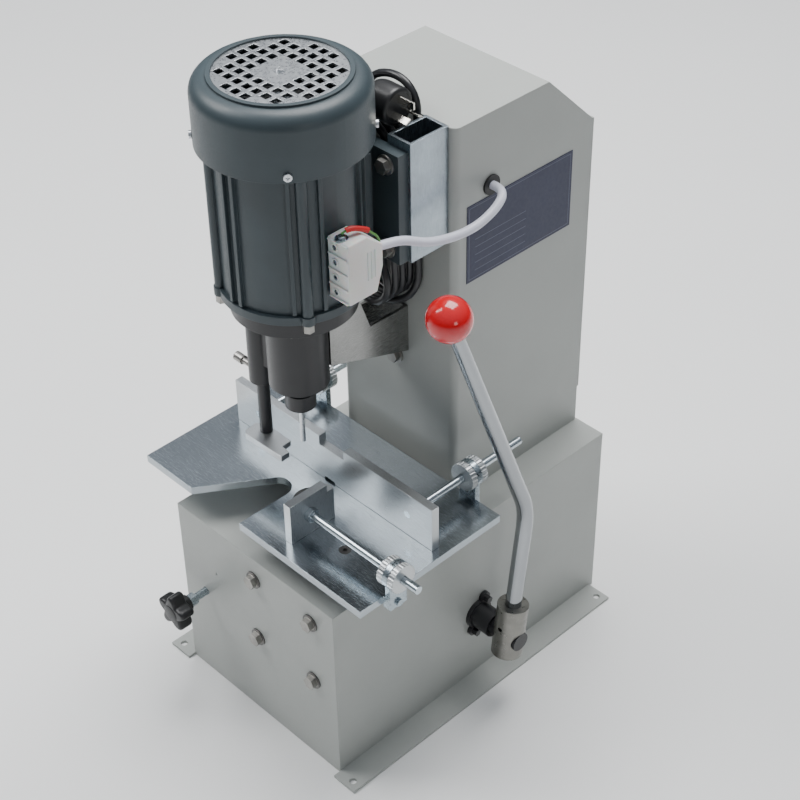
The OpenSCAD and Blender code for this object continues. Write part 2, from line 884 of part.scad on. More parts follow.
// a tube swept along points, its first and last face square to the route
function unit(v) = v / norm(v);
function tangents(p) = [for (i = [0 : len(p) - 1]) unit(p[min(i + 1, len(p) - 1)] - p[max(i - 1, 0)])];
function carried(u, t) = unit(u - (u * t) * t);
function sides_of(t, start) = [for (i = 0, u = carried(start, t[0]); i < len(t);
    i = i + 1, u = carried(u, t[min(i, len(t) - 1)])) u];
function tube_rings(p, r, n, start) =
    let (t = tangents(p), u = sides_of(t, start))
    [for (i = [0 : len(p) - 1], k = [0 : n - 1])
        p[i] + r * (cos(360 * k / n) * u[i] + sin(360 * k / n) * cross(t[i], u[i]))];
module tube(p, d, n, start) {
    count = len(p);
    points = tube_rings(p, d / 2, n, start);
    walls = [for (i = [0 : count - 2], k = [0 : n - 1], half = [0, 1])
        let (a = i * n + k, b = i * n + (k + 1) % n)
        half == 0 ? [a, b + n, b] : [a, a + n, b + n]];
    first = [for (k = [1 : n - 2]) [0, k, k + 1]];
    last = [for (k = [1 : n - 2]) [(count - 1) * n, (count - 1) * n + k + 1, (count - 1) * n + k]];
    polyhedron(points = points, faces = concat(walls, first, last));
}
// points on a smooth curve through a hand-chosen route
function on_curve(a, b, c, d, t) =
    0.5 * (2 * b + (c - a) * t + (2 * a - 5 * b + 4 * c - d) * t * t + (3 * b - a - 3 * c + d) * t * t * t);
function smooth(p, steps) = concat(
    [for (i = [0 : len(p) - 2], s = [0 : steps - 1])
        on_curve(p[max(i - 1, 0)], p[i], p[i + 1], p[min(i + 2, len(p) - 1)], s / steps)],
    [p[len(p) - 1]]);

// green and yellow earth wire from the terminal screw to a motor screw
lead_d = 2;
lead_shape = [[12, 5, 4.5], [14, 11, 7], [16, 19, 5], [18, 27, 1], [19, 32, -4],
    [19.5, 36, -8], [19.5, 39.3, -14.7]];
lead_route = [for (p = lead_shape) [term_x, term_y, term_z + term_h] + p];
module earth_lead() {
    color([0.35, 0.60, 0.20])
        tube(smooth(lead_route, 2), lead_d, 8, [0, 0, 1]);
}

// white cable from the terminal block into the column's side
cable_d = 8;
cable_in = 6;
cable_up = 39;
cable_seat = 2;
entry_in = 3;
entry_d = 9.6;
cable_end_in = 2;
cable_from = [term_x + term_w - cable_in, term_y + term_d - cable_seat, term_z + cable_up];
cable_to = [col_w / 2 - cable_end_in, grommet_y, grommet_z];
cable_near = [[0, 0, 0], [5, 24, -3], [11, 48, -13], [15, 74, -18], [17, 98, -18]];
cable_far = [[24, -21.8, -8.5], [22, -8.8, -2.5], [16, -1.8, -0.5], [9, 0.2, 0], [0, 0, 0]];
cable_route = concat([for (p = cable_near) cable_from + p], [for (p = cable_far) cable_to + p]);
module motor_cable() {
    color([0.88, 0.89, 0.93])
        tube(smooth(cable_route, 2), cable_d, 10, [1, 0, 0]);
}

// three-pin plug that rests between the tubes, its pins to the right
plug_r = 17;
plug_x = -7;
plug_neck = 12;
plug_root_r = 5.6;
plug_neck_r = 7;
plug_flare = 4;
plug_rim = 2;
plug_body = 31;
plug_out = 25.8;
plug_y = col_y - plug_out;
plug_drop = 10;
plug_z = motor_top - plug_drop;
pin_l = 18;
pin_w = 6.5;
pin_t = 1.6;
pin_out = 8;

// black mains lead: out of the column, wound into a hank between the tubes, over the plug and into it
cord_d = 7;
cord_apart = 42;
outer_gap = 1;
hank_turns = 3;
hank_rings = 24;
hank_x = 27;
hank_drop = 41;
hank_low = flange_z - hank_drop;
hank_short = 31;
hank_high = motor_top - hank_short;
hank_out = 37.3;
hank_y0 = col_y - hank_out;
hank_step = 9;
gland_shape = [[0, 0, 0], [0, -4.8, 0], [0, -11.8, -1], [0, -20.8, -6], [2, -28.8, -16], [8, -33.8, -29],
    [13, -34.8, -41]];
over_shape = [[-20, 21.5, -78], [-20, 21.5, -38], [-18.5, 21.5, -16], [-14, 21.5, -4], [-5, 21.5, 5],
    [8.5, 21.5, 10.7], [20.5, 21.5, 12], [31, 21.5, 9], [38.5, 21.5, 2], [42, 21.5, -7.5], [42, 21.5, -20],
    [42, 21.5, -60], [42, 21.5, -120]];
lead_in = [for (p = gland_shape) [gland_x, col_y, gland_z] + p];
lead_over = [for (p = over_shape) [plug_x, plug_y, plug_z] + p];
// one turn runs down the right, round the bottom, up the left and round the top
hank_run = hank_high - hank_low - 2 * hank_x;
hank_bend = PI * hank_x;
hank_turn = 2 * (hank_run + hank_bend);
function hank_point(s) =
    let (turn = floor(s / hank_turn), m = s - turn * hank_turn, y = hank_y0 + hank_step * s / hank_turn)
    m < hank_run ? [hank_x, y, hank_high - hank_x - m]
    : m < hank_run + hank_bend ?
        let (a = 180 * (m - hank_run) / hank_bend)
        [hank_x * cos(a), y, hank_low + hank_x - hank_x * sin(a)]
    : m < 2 * hank_run + hank_bend ? [-hank_x, y, hank_low + hank_x + m - hank_run - hank_bend]
    : let (a = 180 * (m - 2 * hank_run - hank_bend) / hank_bend)
        [-hank_x * cos(a), y, hank_high - hank_x + hank_x * sin(a)];
hank_start = hank_run;
hank_end = hank_turns * hank_turn + hank_run + hank_bend + hank_run / 2;
hank_count = round((hank_end - hank_start) / hank_turn * hank_rings);
// the last turn lies round the others and bends up into the plug
outer_r = hank_x + outer_gap + cord_d;
outer_steps = 12;
outer_y = plug_y + over_shape[0][1];
plug_bend = plug_x + outer_r;
plug_steps = 6;
outer_bottom = [for (i = [0 : outer_steps])
    let (share = i / outer_steps, a = 180 * share)
    [outer_r * cos(a), outer_y + (plug_y - outer_y) * share, hank_low + hank_x - outer_r * sin(a)]];
outer_end = [for (i = [0 : plug_steps])
    let (a = 90 * i / plug_steps)
    [plug_x - plug_bend * cos(a), plug_y, plug_z - plug_bend + plug_bend * sin(a)]];
cord_points = concat(
    smooth(lead_in, 2),
    [for (i = [0 : hank_count]) hank_point(hank_start + (hank_end - hank_start) * i / hank_count)],
    smooth(lead_over, 2), outer_bottom, outer_end);
cord_length = [for (i = 0, s = 0; i < len(cord_points); i = i + 1,
    s = s + (i < len(cord_points) ? norm(cord_points[i] - cord_points[i - 1]) : 0)) s];
least_gap = min([for (i = [0 : len(cord_points) - 1], j = [i + 1 : 1 : len(cord_points) - 1])
    if (cord_length[j] - cord_length[i] > cord_apart) norm(cord_points[i] - cord_points[j])]) - cord_d;
echo(cord_length = cord_length[len(cord_length) - 1], least_gap = least_gap, cord_rings = len(cord_points));
module mains_cord() {
    color([0.04, 0.04, 0.05])
        tube(cord_points, cord_d, 8, [1, 0, 0]);
}

module mains_plug() {
    color([0.05, 0.05, 0.06])
    difference() {
        translate([plug_x, plug_y, plug_z])
            rotate([0, 90, 0])
                rotate_extrude()
                    polygon([[0, 0], [plug_root_r, 0], [plug_neck_r, plug_neck],
                        [plug_r - plug_rim, plug_neck + plug_flare], [plug_r, plug_neck + 2 * plug_flare],
                        [plug_r, plug_neck + plug_body - plug_rim / 2],
                        [plug_r - plug_rim / 2, plug_neck + plug_body], [0, plug_neck + plug_body]]);
        pins_at(plug_x + plug_neck + plug_body - pin_l / 2, pin_l);
    }
}
module pins_at(x, length) {
    for (i = [0 : 2])
        translate([x, plug_y, plug_z])
            rotate([i * 360 / 3, 0, 0])
                translate([0, -pin_t / 2, pin_out - pin_w / 2])
                    cube([length, pin_t, pin_w]);
}
module plug_pins() {
    color([0.80, 0.80, 0.78])
        pins_at(plug_x + plug_neck + plug_body - pin_l / 2, pin_l * 3 / 2);
}

// bearing block of the lift posts inside the base, screwed to the front wall
guide_bolt_in = 20;
guide_shank = 18;
bolt_disc_t = 0.2;
module guide_block() {
    color([0.45, 0.46, 0.47])
    difference() {
        block([guide_x[0] - guide_side, guide_front, guide_bottom],
            [guide_x[1] + guide_side, guide_back, guide_bottom + guide_h]);
        for (x = guide_x)
            translate([x, post_y, guide_bottom - cut])
                cylinder(r = post_d / 2 + fit, h = guide_h + 2 * cut);
        for (x = guide_x, z = guide_z)
            bar_y([x, guide_front - cut, z], guide_bolt_in + cut, bolt_d);
    }
}

module guide_bolts() {
    color([0.55, 0.55, 0.53])
    for (x = guide_x, z = guide_z)
        translate([x, front_y - washer_t, z])
            rotate([90, 0, 0])
                hex_bolt(hex_d, hex_h, hex_d, bolt_disc_t, bolt_d, guide_shank + base_t + washer_t);
}
module guide_washers() {
    color([0.15, 0.15, 0.16])
    for (x = guide_x, z = guide_z)
        translate([x, front_y, z])
            rotate([90, 0, 0])
                difference() {
                    cylinder(d = washer_d, h = washer_t);
                    translate([0, 0, -cut])
                        cylinder(d = bolt_d + 2 * fit, h = washer_t + 2 * cut);
                }
}

// flanged bearings of the lever shaft: one outside the right wall, one inside the left wall
bearing_hub_d = 27;
bearing_hub_h = 25;
bearing_plate_t = 4;
bearing_ear_d = 12;
bearing_ear = 19;
bearing_ear_deg = 65;
bearing_foot_d = 32;
ear_bolt_d = 8;
module lever_bearing() {
    difference() {
        union() {
            cylinder(d = bearing_hub_d, h = bearing_hub_h);
            cylinder(d = bearing_foot_d, h = bearing_plate_t);
            for (s = [-1, 1])
                rotate(bearing_ear_deg)
                    translate([s * bearing_ear, 0, 0])
                        cylinder(d = bearing_ear_d, h = bearing_plate_t);
        }
        translate([0, 0, -cut])
            cylinder(r = shaft_side_d / 2 + fit, h = bearing_hub_h + 2 * cut);
    }
    for (s = [-1, 1])
        rotate(bearing_ear_deg)
            translate([s * bearing_ear, 0, bearing_plate_t - cut])
                cylinder(d = ear_bolt_d, h = hex_h + cut, $fn = 6);
}
module lever_bearings() {
    color([0.06, 0.06, 0.06]) {
        translate([base_w / 2, lever_y, lever_z])
            rotate([90, 0, 90])
                lever_bearing();
        translate([-base_w / 2 + base_t, lever_y, lever_z])
            rotate([90, 0, 90])
                lever_bearing();
    }
}

// small round-head screws of column, cowl, grille and rear panel
pan_head_d = 7;
pan_head_h = 2.4;
pan_shank = 6;
cross_l = 3.5;
cross_w = 0.8;
module pan_screw() {
    difference() {
        union() {
            translate([0, 0, -pan_shank])
                cylinder(d = pan_d - 2 * fit, h = pan_shank + cut);
            cylinder(d = pan_head_d, h = pan_head_h);
        }
        for (a = [0, 90])
            rotate(a)
                translate([-cross_l / 2, -cross_w / 2, pan_head_h / 2])
                    cube([cross_l, cross_w, pan_head_h]);
    }
}
module pan_screws() {
    color([0.70, 0.70, 0.68]) {
        for (angle = cowl_angles)
            around_spindle(angle)
                translate([cowl_r, 0, (cowl_z + motor_top) / 2])
                    rotate([0, 90, 0])
                        pan_screw();
        translate([0, spindle_y, cowl_top - grille_drop])
            pan_screw();
        at_rear_screws(col_t)
            pan_screw();
    }
}

// work table with its V notch, pad bore, screw holes and pocket
notch_x = -26;
notch_l = 57.5;
notch_y = table_front + notch_l;
notch_r = 14;
notch_mouth = [-82.5, -12.5];
notch_edge = [[14, -2], [8.4, 0], [-9.94, 9.8]];
pad_x = 9;
pad_before = 3;
pad_y = spindle_y - pad_before;
pad_depth = 6;
table_screw_d = 6;
table_head_d = 11.5;
table_head_h = 5;
front_hole_side = 3;
front_hole_before = 1;
rear_hole_x = 60;
rear_hole_in = 51.5;
table_holes = [[guide_x[1] + front_hole_side, post_y - front_hole_before],
    [rear_hole_x, table_back - rear_hole_in],
    [-rear_hole_x, table_back - rear_hole_in]];
module work_table() {
    color([0.72, 0.75, 0.76])
    difference() {
        block([-table_w / 2, table_front, table_z], [table_w / 2, table_back, top_z]);
        translate([0, 0, table_z - cut])
            linear_extrude(height = table_t + 2 * cut)
                union() {
                    translate([notch_x, notch_y])
                        circle(r = notch_r);
                    polygon(concat([for (x = notch_mouth) [x, table_front - cut]],
                        [for (p = notch_edge) [notch_x, notch_y] + p]));
                }
        translate([pad_x, pad_y, top_z - pad_depth])
            cylinder(d = pad_d + 4 * fit, h = pad_depth + cut);
        for (p = table_holes) {
            translate([p[0], p[1], table_z - cut])
                cylinder(d = table_screw_d, h = table_t + 2 * cut);
            translate([p[0], p[1], top_z - table_head_h])
                cylinder(d = table_head_d + 4 * fit, h = table_head_h + cut);
        }
    }
}

// plate under the table with the hanging strut that the roller pushes
module table_carrier() {
    color([0.42, 0.43, 0.44])
    difference() {
        union() {
            block([-rear_hole_x - carrier_edge, pad_y + carrier_t, carrier_z],
                [carrier_x1, table_holes[1][1] + carrier_t, table_z]);
            block([guide_x[0] - post_d / 2 - gap, post_y - post_d, carrier_z],
                [carrier_x1, pad_y + 2 * carrier_t, table_z]);
            block([strut_x, strut_y, strut_z], [strut_x + strut_w, strut_y + strut_d, table_z]);
        }
        for (p = table_holes)
            translate([p[0], p[1], carrier_z - cut])
                cylinder(d = table_screw_d, h = carrier_t + 2 * cut);
    }
}

module table_screws() {
    color([0.18, 0.18, 0.19])
    for (p = table_holes)
        translate([p[0], p[1], top_z - table_head_h])
            difference() {
                union() {
                    cylinder(d = table_head_d, h = table_head_h - gap);
                    translate([0, 0, -carrier_t])
                        cylinder(d = table_screw_d, h = carrier_t + cut);
                }
                translate([0, 0, table_head_h / 2])
                    cylinder(d = table_screw_d * socket_share, h = table_head_h, $fn = 6);
            }
}

module lift_posts() {
    color([0.75, 0.76, 0.78])
    for (x = guide_x)
        translate([x, post_y, post_z])
            cylinder(d = post_d, h = carrier_z - post_z);
}

// brackets of the rods: an upright leg with a round head on the table's edge
leg_w = 20;
leg_screw_drop = 7;
leg_below = 4;
side_foot_t = 3;
module rod_bracket() {
    difference() {
        union() {
            bar_x([0, 0, rod_z], bracket_t, nut_d);
            block([0, -leg_w / 2, table_z - leg_below], [bracket_t, leg_w / 2, rod_z]);
        }
        bar_x([-cut, 0, rod_z], bracket_t + 2 * cut, rod_d + 4 * fit);
    }
    translate([bracket_t, 0, top_z - leg_screw_drop])
        rotate([0, 90, 0])
            cylinder(d = pan_head_d, h = pan_head_h);
}
module side_bracket() {
    color([0.62, 0.64, 0.65]) {
        translate([table_w / 2 + side_foot_t, stop_y, 0])
            rod_bracket();
        block([table_w / 2, stop_y - leg_w / 2, table_z - leg_below],
            [table_w / 2 + side_foot_t, stop_y + leg_w / 2, top_z]);
    }
}
module rear_brackets() {
    color([0.62, 0.64, 0.65])
    for (x = rod_x)
        translate([x, table_back, 0])
            rotate(90)
                rod_bracket();
}

module lock_bar() {
    color([0.55, 0.56, 0.57])
        block([lock_x - lock_w / 2, lock_y, lock_low], [lock_x + lock_w / 2, lock_y + lock_t, table_z]);
}

module drill_pad() {
    color([0.05, 0.05, 0.05])
        translate([pad_x, pad_y, top_z - pad_depth])
            cylinder(d = pad_d, h = pad_depth);
}

// fence with its cut-out over the drill and the chip slot at its foot
cut_x0 = -9;
cut_x1 = 24;
cut_drop = 10.1;
chip_x0 = -3.5;
chip_x1 = 10.4;
chip_h = 3;
module fence() {
    color([0.76, 0.78, 0.79])
    difference() {
        block([fence_x, fence_y, top_z + gap], [fence_x + fence_l, fence_y + fence_t, top_z + fence_h]);
        block([cut_x0, fence_y - cut, top_z + fence_h - cut_drop],
            [cut_x1, fence_y + fence_t + cut, top_z + fence_h + cut]);
        block([chip_x0, fence_y - cut, top_z - cut], [chip_x1, fence_y + fence_t + cut, top_z + chip_h]);
        for (x = rod_x)
            bar_y([x, fence_y - cut, rod_z], fence_t + 2 * cut, rod_d);
    }
}
module fence_rods() {
    color([0.55, 0.62, 0.66])
    for (x = rod_x)
        bar_y([x, fence_y, rod_z], fence_t + fence_rod_l, rod_d);
}

// a pair of knurled nuts on either side of a bracket, along +Z from the bracket's first face
knurls = 24;
knurl_d = 1.6;
rod_clear = 0.1;
module nut_pair() {
    difference() {
        for (z = [-nut_t - gap, bracket_t + gap])
            translate([0, 0, z])
                cylinder(d = nut_d, h = nut_t);
        translate([0, 0, -nut_t - gap - cut])
            cylinder(r = rod_d / 2 + rod_clear, h = bracket_t + 2 * (nut_t + gap + cut));
        for (i = [0 : knurls - 1])
            rotate(i * 360 / knurls)
                translate([nut_d / 2, 0, -nut_t - gap - cut])
                    cylinder(d = knurl_d, h = bracket_t + 2 * (nut_t + gap + cut), $fn = 6);
    }
}
module nuts_right() {
    color([0.70, 0.71, 0.72])
        translate([rod_x[0], table_back, rod_z])
            rotate([-90, 0, 0])
                nut_pair();
}
module nuts_left() {
    color([0.70, 0.71, 0.72])
        translate([rod_x[1], table_back, rod_z])
            rotate([-90, 0, 0])
                nut_pair();
}
module nuts_stop() {
    color([0.70, 0.71, 0.72])
        translate([table_w / 2 + side_foot_t, stop_y, rod_z])
            rotate([0, 90, 0])
                nut_pair();
}

// side stop: an upright block with a lower step behind, and its rod with a hexagon nut
stop_front = 22.3;
stop_back = 22;
stop_step = 8;
stop_step_drop = 8;
module stop_block() {
    color([0.76, 0.78, 0.79])
    difference() {
        union() {
            block([stop_x, stop_y - stop_front, top_z + gap],
                [stop_x + stop_t, stop_y + stop_back, top_z + stop_h]);
            block([stop_x, stop_y + stop_back, top_z + gap],
                [stop_x + stop_t, stop_y + stop_back + stop_step, top_z + stop_h - stop_step_drop]);
        }
        bar_x([stop_x - cut, stop_y, rod_z], stop_t + 2 * cut, rod_d);
    }
}
stop_nut_t = 6;
module stop_rod() {
    color([0.55, 0.62, 0.66]) {
        bar_x([stop_x, stop_y, rod_z], stop_rod_x - stop_x, rod_d);
        translate([stop_x + stop_t, stop_y, rod_z])
            rotate([0, 90, 0])
                cylinder(d = hex_d, h = stop_nut_t, $fn = 6);
    }
}

// lever: hub across the shaft, bent rod and ball knob, all in one plane
hub_low = 20.5;
hub_high = 38.5;
hub_socket = 14;
set_screw_d = 5;
set_screw_up = 14;
ball_flat_share = 0.47;
// the frame of the lever's lower straight, its axis along +Z
module at_lever() {
    translate([lever_x, lever_y, lever_z])
        rotate([-lever_tilt, 0, 0])
            children();
}
module lever_hub() {
    color([0.62, 0.60, 0.56])
    at_lever()
        difference() {
            translate([0, 0, -hub_low])
                cylinder(d = hub_d, h = hub_low + hub_high);
            translate([0, 0, hub_high - hub_socket])
                cylinder(r = lever_d / 2 + fit, h = hub_socket + cut);
            translate([-hub_d, 0, 0])
                rotate([0, 90, 0])
                    cylinder(r = shaft_side_d / 2 + fit, h = 2 * hub_d);
            translate([0, 0, set_screw_up])
                rotate([90, 0, 0])
                    cylinder(d = set_screw_d, h = hub_d);
        }
}
module lever_rod() {
    color([0.80, 0.81, 0.82])
    at_lever() {
        translate([0, 0, hub_high - hub_socket])
            cylinder(d = lever_d, h = lever_low_l - hub_high + hub_socket);
        translate([0, 0, lever_low_l])
            rotate([lever_tilt + lever_lean, 0, 0]) {
                sphere(d = lever_d);
                cylinder(d1 = lever_d, d2 = lever_tip_d, h = lever_up_l - ball_d / 4);
            }
    }
}
module lever_ball() {
    color([0.80, 0.03, 0.04])
    at_lever()
        translate([0, 0, lever_low_l])
            rotate([lever_tilt + lever_lean, 0, 0])
                translate([0, 0, lever_up_l])
                    difference() {
                        intersection() {
                            sphere(d = ball_d);
                            translate([-ball_d / 2, -ball_d / 2, -ball_d * ball_flat_share])
                                cube(ball_d);
                        }
                        translate([0, 0, -ball_d])
                            cylinder(r = lever_d / 2 + fit, h = ball_d * 3 / 4);
                    }
}
module lever_shaft() {
    color([0.60, 0.61, 0.62])
        bar_x([-base_w / 2 + base_t, lever_y, lever_z],
            base_w / 2 - base_t + lever_x + hub_d / 2, shaft_side_d);
}
arm_w = 14;
arm_hub_d = 40;
arm_low = 10;
arm_high = 8;
module lift_arm() {
    x = strut_x + strut_w / 2 - arm_w / 2;
    color([0.38, 0.39, 0.40])
    translate([x, lever_y, lever_z])
        rotate([arm_rest, 0, 0])
            difference() {
                union() {
                    bar_x([0, 0, 0], arm_w, arm_hub_d);
                    block([0, -arm_l, -arm_low], [arm_w, 0, arm_high]);
                    bar_x([0, -arm_l, 0], arm_w, 2 * roller_r);
                }
                bar_x([-cut, 0, 0], arm_w + 2 * cut, shaft_side_d + 2 * fit);
            }
}

// spindle: shaft through motor and barrel, rotor, fan, nose and hollow drill
fan_r = 62;
fan_hub_r = 22;
fan_blades = 8;
fan_blade_t = 2.5;
fan_h = 20;
fan_gap = 3;
module spindle_shaft() {
    color([0.62, 0.63, 0.64])
        translate([0, spindle_y, barrel_z - gap])
            cylinder(d = shaft_d, h = motor_top + fan_gap + fan_h - barrel_z + gap);
}
module rotor() {
    color([0.45, 0.46, 0.47])
        translate([0, spindle_y, stator_z])
            difference() {
                cylinder(r = rotor_r, h = stator_l);
                translate([0, 0, -cut])
                    cylinder(r = shaft_d / 2 + fit, h = stator_l + 2 * cut);
            }
}
module cooling_fan() {
    color([0.12, 0.12, 0.13])
    translate([0, spindle_y, motor_top + fan_gap])
        difference() {
            union() {
                cylinder(r = fan_hub_r, h = fan_h);
                cylinder(r = fan_r, h = fan_blade_t);
                for (i = [0 : fan_blades - 1])
                    rotate(i * 360 / fan_blades)
                        block([fan_hub_r / 2, -fan_blade_t / 2, 0], [fan_r, fan_blade_t / 2, fan_h]);
            }
            translate([0, 0, -cut])
                cylinder(r = shaft_d / 2 + fit, h = fan_h + 2 * cut);
        }
}
nose_chamfer = 2.5;
nose_groove = 1.2;
groove_low = 18;
groove_high = 21;
module spindle_nose() {
    color([0.09, 0.09, 0.10])
    translate([0, spindle_y, nose_z])
        rotate_extrude()
            polygon([[drill_d / 2 + fit, 0], [nose_d / 2 - nose_chamfer, 0], [nose_d / 2, nose_chamfer],
                [nose_d / 2, groove_low], [nose_d / 2 - nose_groove, groove_low],
                [nose_d / 2 - nose_groove, groove_high], [nose_d / 2, groove_high],
                [nose_d / 2, nose_l - gap], [drill_d / 2 + fit, nose_l - gap]]);
}
drill_wall = 0.8;
drill_in = 20;
module drill_bit() {
    color([0.75, 0.74, 0.72])
    translate([0, spindle_y, tip_z])
        difference() {
            cylinder(d = drill_d, h = drill_l + drill_in);
            translate([0, 0, -cut])
                cylinder(r = drill_d / 2 - drill_wall, h = drill_l + drill_in - drill_d);
        }
}

// star knob with five lobes on the stud that clamps the lock bar
lobes = 5;
lobe_r = 8;
lobe_at = 12;
lobe_turn = 18;
knob_core_r = 14;
knob_boss_d = 18;
knob_boss_l = 6;
lock_nut_t = 8;
module lock_knob() {
    color([0.05, 0.05, 0.05])
    translate([lock_x, knob_y, lock_z])
        rotate([90, 0, 0])
            difference() {
                union() {
                    cylinder(r = knob_core_r, h = knob_t);
                    for (i = [0 : lobes - 1])
                        rotate(i * 360 / lobes + lobe_turn)
                            translate([lobe_at, 0, 0])
                                cylinder(r = lobe_r, h = knob_t);
                    translate([0, 0, -knob_boss_l])
                        cylinder(d = knob_boss_d, h = knob_boss_l + cut);
                }
                translate([0, 0, -knob_boss_l - cut])
                    cylinder(r = stud_d / 2 + fit, h = knob_t / 2 + knob_boss_l + cut);
            }
}
module lock_stud() {
    color([0.72, 0.72, 0.72]) {
        bar_y([lock_x, knob_y - knob_t / 2 + cut, lock_z],
            lock_y - gap - knob_y + knob_t / 2 - cut, stud_d);
        translate([lock_x, knob_y + knob_boss_l, lock_z])
            rotate([-90, 0, 0])
                cylinder(d = hex_d, h = lock_nut_t, $fn = 6);
    }
}

// presser rod in its boss, and the presser foot with its two prongs
rod_up = 5;
rod_travel = 20;
foot_outline = [[-15, -1], [-13.5, -14], [-9.5, -17.5], [39, -16], [39, -6.5], [28.5, -5.5],
    [28, 5], [-8.5, 6]];
module presser_rod() {
    color([0.07, 0.07, 0.07])
        translate([presser_x, presser_y, presser_foot_z + foot_t / 2])
            cylinder(d = presser_d, h = bell_z - rod_travel - rod_up - presser_foot_z - foot_t / 2);
}
module presser_foot() {
    color([0.76, 0.78, 0.79])
    translate([0, 0, presser_foot_z])
        difference() {
            linear_extrude(height = foot_t)
                polygon([for (p = foot_outline) [presser_x, presser_y] + p]);
            translate([presser_x, presser_y, -cut])
                cylinder(r = presser_d / 2 + fit, h = foot_t + 2 * cut);
        }
}

base_housing();
inner_post();
column_cover();
rear_panel();
label_plate();
cable_grommets();
switch_body();
capacitor();
motor_tubes();
motor_frame();
lower_end_bell();
tie_bolts();
motor_bolts();
stator();
bearings();
fan_cowl();
fan_grille();
spindle_housing();
spindle_bracket();
terminal_block();
earth_lead();
motor_cable();
mains_cord();
mains_plug();
plug_pins();
guide_block();
guide_bolts();
guide_washers();
lever_bearings();
pan_screws();
work_table();
table_carrier();
table_screws();
lift_posts();
side_bracket();
rear_brackets();
lock_bar();
drill_pad();
fence();
fence_rods();
nuts_right();
nuts_left();
stop_block();
stop_rod();
nuts_stop();
lever_hub();
lever_rod();
lever_ball();
lever_shaft();
lift_arm();
spindle_shaft();
rotor();
cooling_fan();
spindle_nose();
drill_bit();
lock_knob();
lock_stud();
presser_rod();
presser_foot();
switch_rocker();
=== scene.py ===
import math

import bmesh
import bpy
from mathutils import Matrix, Vector


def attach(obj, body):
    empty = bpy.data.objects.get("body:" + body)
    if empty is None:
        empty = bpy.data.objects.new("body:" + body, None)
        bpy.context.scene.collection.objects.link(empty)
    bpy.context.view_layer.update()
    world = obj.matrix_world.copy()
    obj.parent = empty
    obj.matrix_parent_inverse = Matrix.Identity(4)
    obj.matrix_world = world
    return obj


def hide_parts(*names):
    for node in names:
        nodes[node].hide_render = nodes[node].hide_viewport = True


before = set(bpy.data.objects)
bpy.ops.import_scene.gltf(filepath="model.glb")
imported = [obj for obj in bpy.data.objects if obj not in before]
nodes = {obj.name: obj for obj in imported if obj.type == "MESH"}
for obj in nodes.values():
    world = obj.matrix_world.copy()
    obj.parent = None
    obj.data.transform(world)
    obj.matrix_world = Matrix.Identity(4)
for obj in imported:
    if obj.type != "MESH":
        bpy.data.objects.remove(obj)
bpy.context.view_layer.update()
MM = 0.001


# Camera, solved from the photograph's straight edges

CAMERA_PLACE = Vector((0.9734, -0.9084, 1.3518))
CAMERA_RIGHT = Vector((0.69695, 0.71698, -0.01451))
CAMERA_AHEAD = Vector((-0.56807, 0.53962, -0.62137))
CAMERA_ANGLE = math.radians(25.109)


def make_camera():
    data = bpy.data.cameras.new("camera")
    data.sensor_fit = "HORIZONTAL"
    data.angle = CAMERA_ANGLE
    data.clip_end = 20.0
    camera = bpy.data.objects.new("camera", data)
    bpy.context.scene.collection.objects.link(camera)
    back = -CAMERA_AHEAD.normalized()
    right = (CAMERA_RIGHT - back * CAMERA_RIGHT.dot(back)).normalized()
    up = back.cross(right)
    turn = Matrix((right, up, back)).transposed().to_4x4()
    camera.matrix_world = Matrix.Translation(CAMERA_PLACE) @ turn
    bpy.context.scene.camera = camera


make_camera()


# Materials: each has its own colour drift, roughness drift, relief and softened edges

def mix_colour(tree, factor, low, high):
    mix = tree.nodes.new("ShaderNodeMix")
    mix.data_type = "RGBA"
    tree.links.new(factor, mix.inputs["Factor"])
    mix.inputs["A"].default_value = (*low, 1)
    mix.inputs["B"].default_value = (*high, 1)
    return mix.outputs["Result"]


def noise(tree, place, scale, detail=4.0, rough=0.55):
    node = tree.nodes.new("ShaderNodeTexNoise")
    node.inputs["Scale"].default_value = scale
    node.inputs["Detail"].default_value = detail
    node.inputs["Roughness"].default_value = rough
    tree.links.new(place, node.inputs["Vector"])
    return node.outputs["Fac"]


def spread(tree, value, low, high, start=0.3, end=0.7):
    node = tree.nodes.new("ShaderNodeMapRange")
    node.inputs["From Min"].default_value = start
    node.inputs["From Max"].default_value = end
    node.inputs["To Min"].default_value = low
    node.inputs["To Max"].default_value = high
    tree.links.new(value, node.inputs["Value"])
    return node.outputs["Result"]


def stretched(tree, stretch):
    place = tree.nodes.new("ShaderNodeTexCoord").outputs["Object"]
    mapping = tree.nodes.new("ShaderNodeMapping")
    mapping.inputs["Scale"].default_value = stretch
    tree.links.new(place, mapping.inputs["Vector"])
    return mapping.outputs["Vector"]


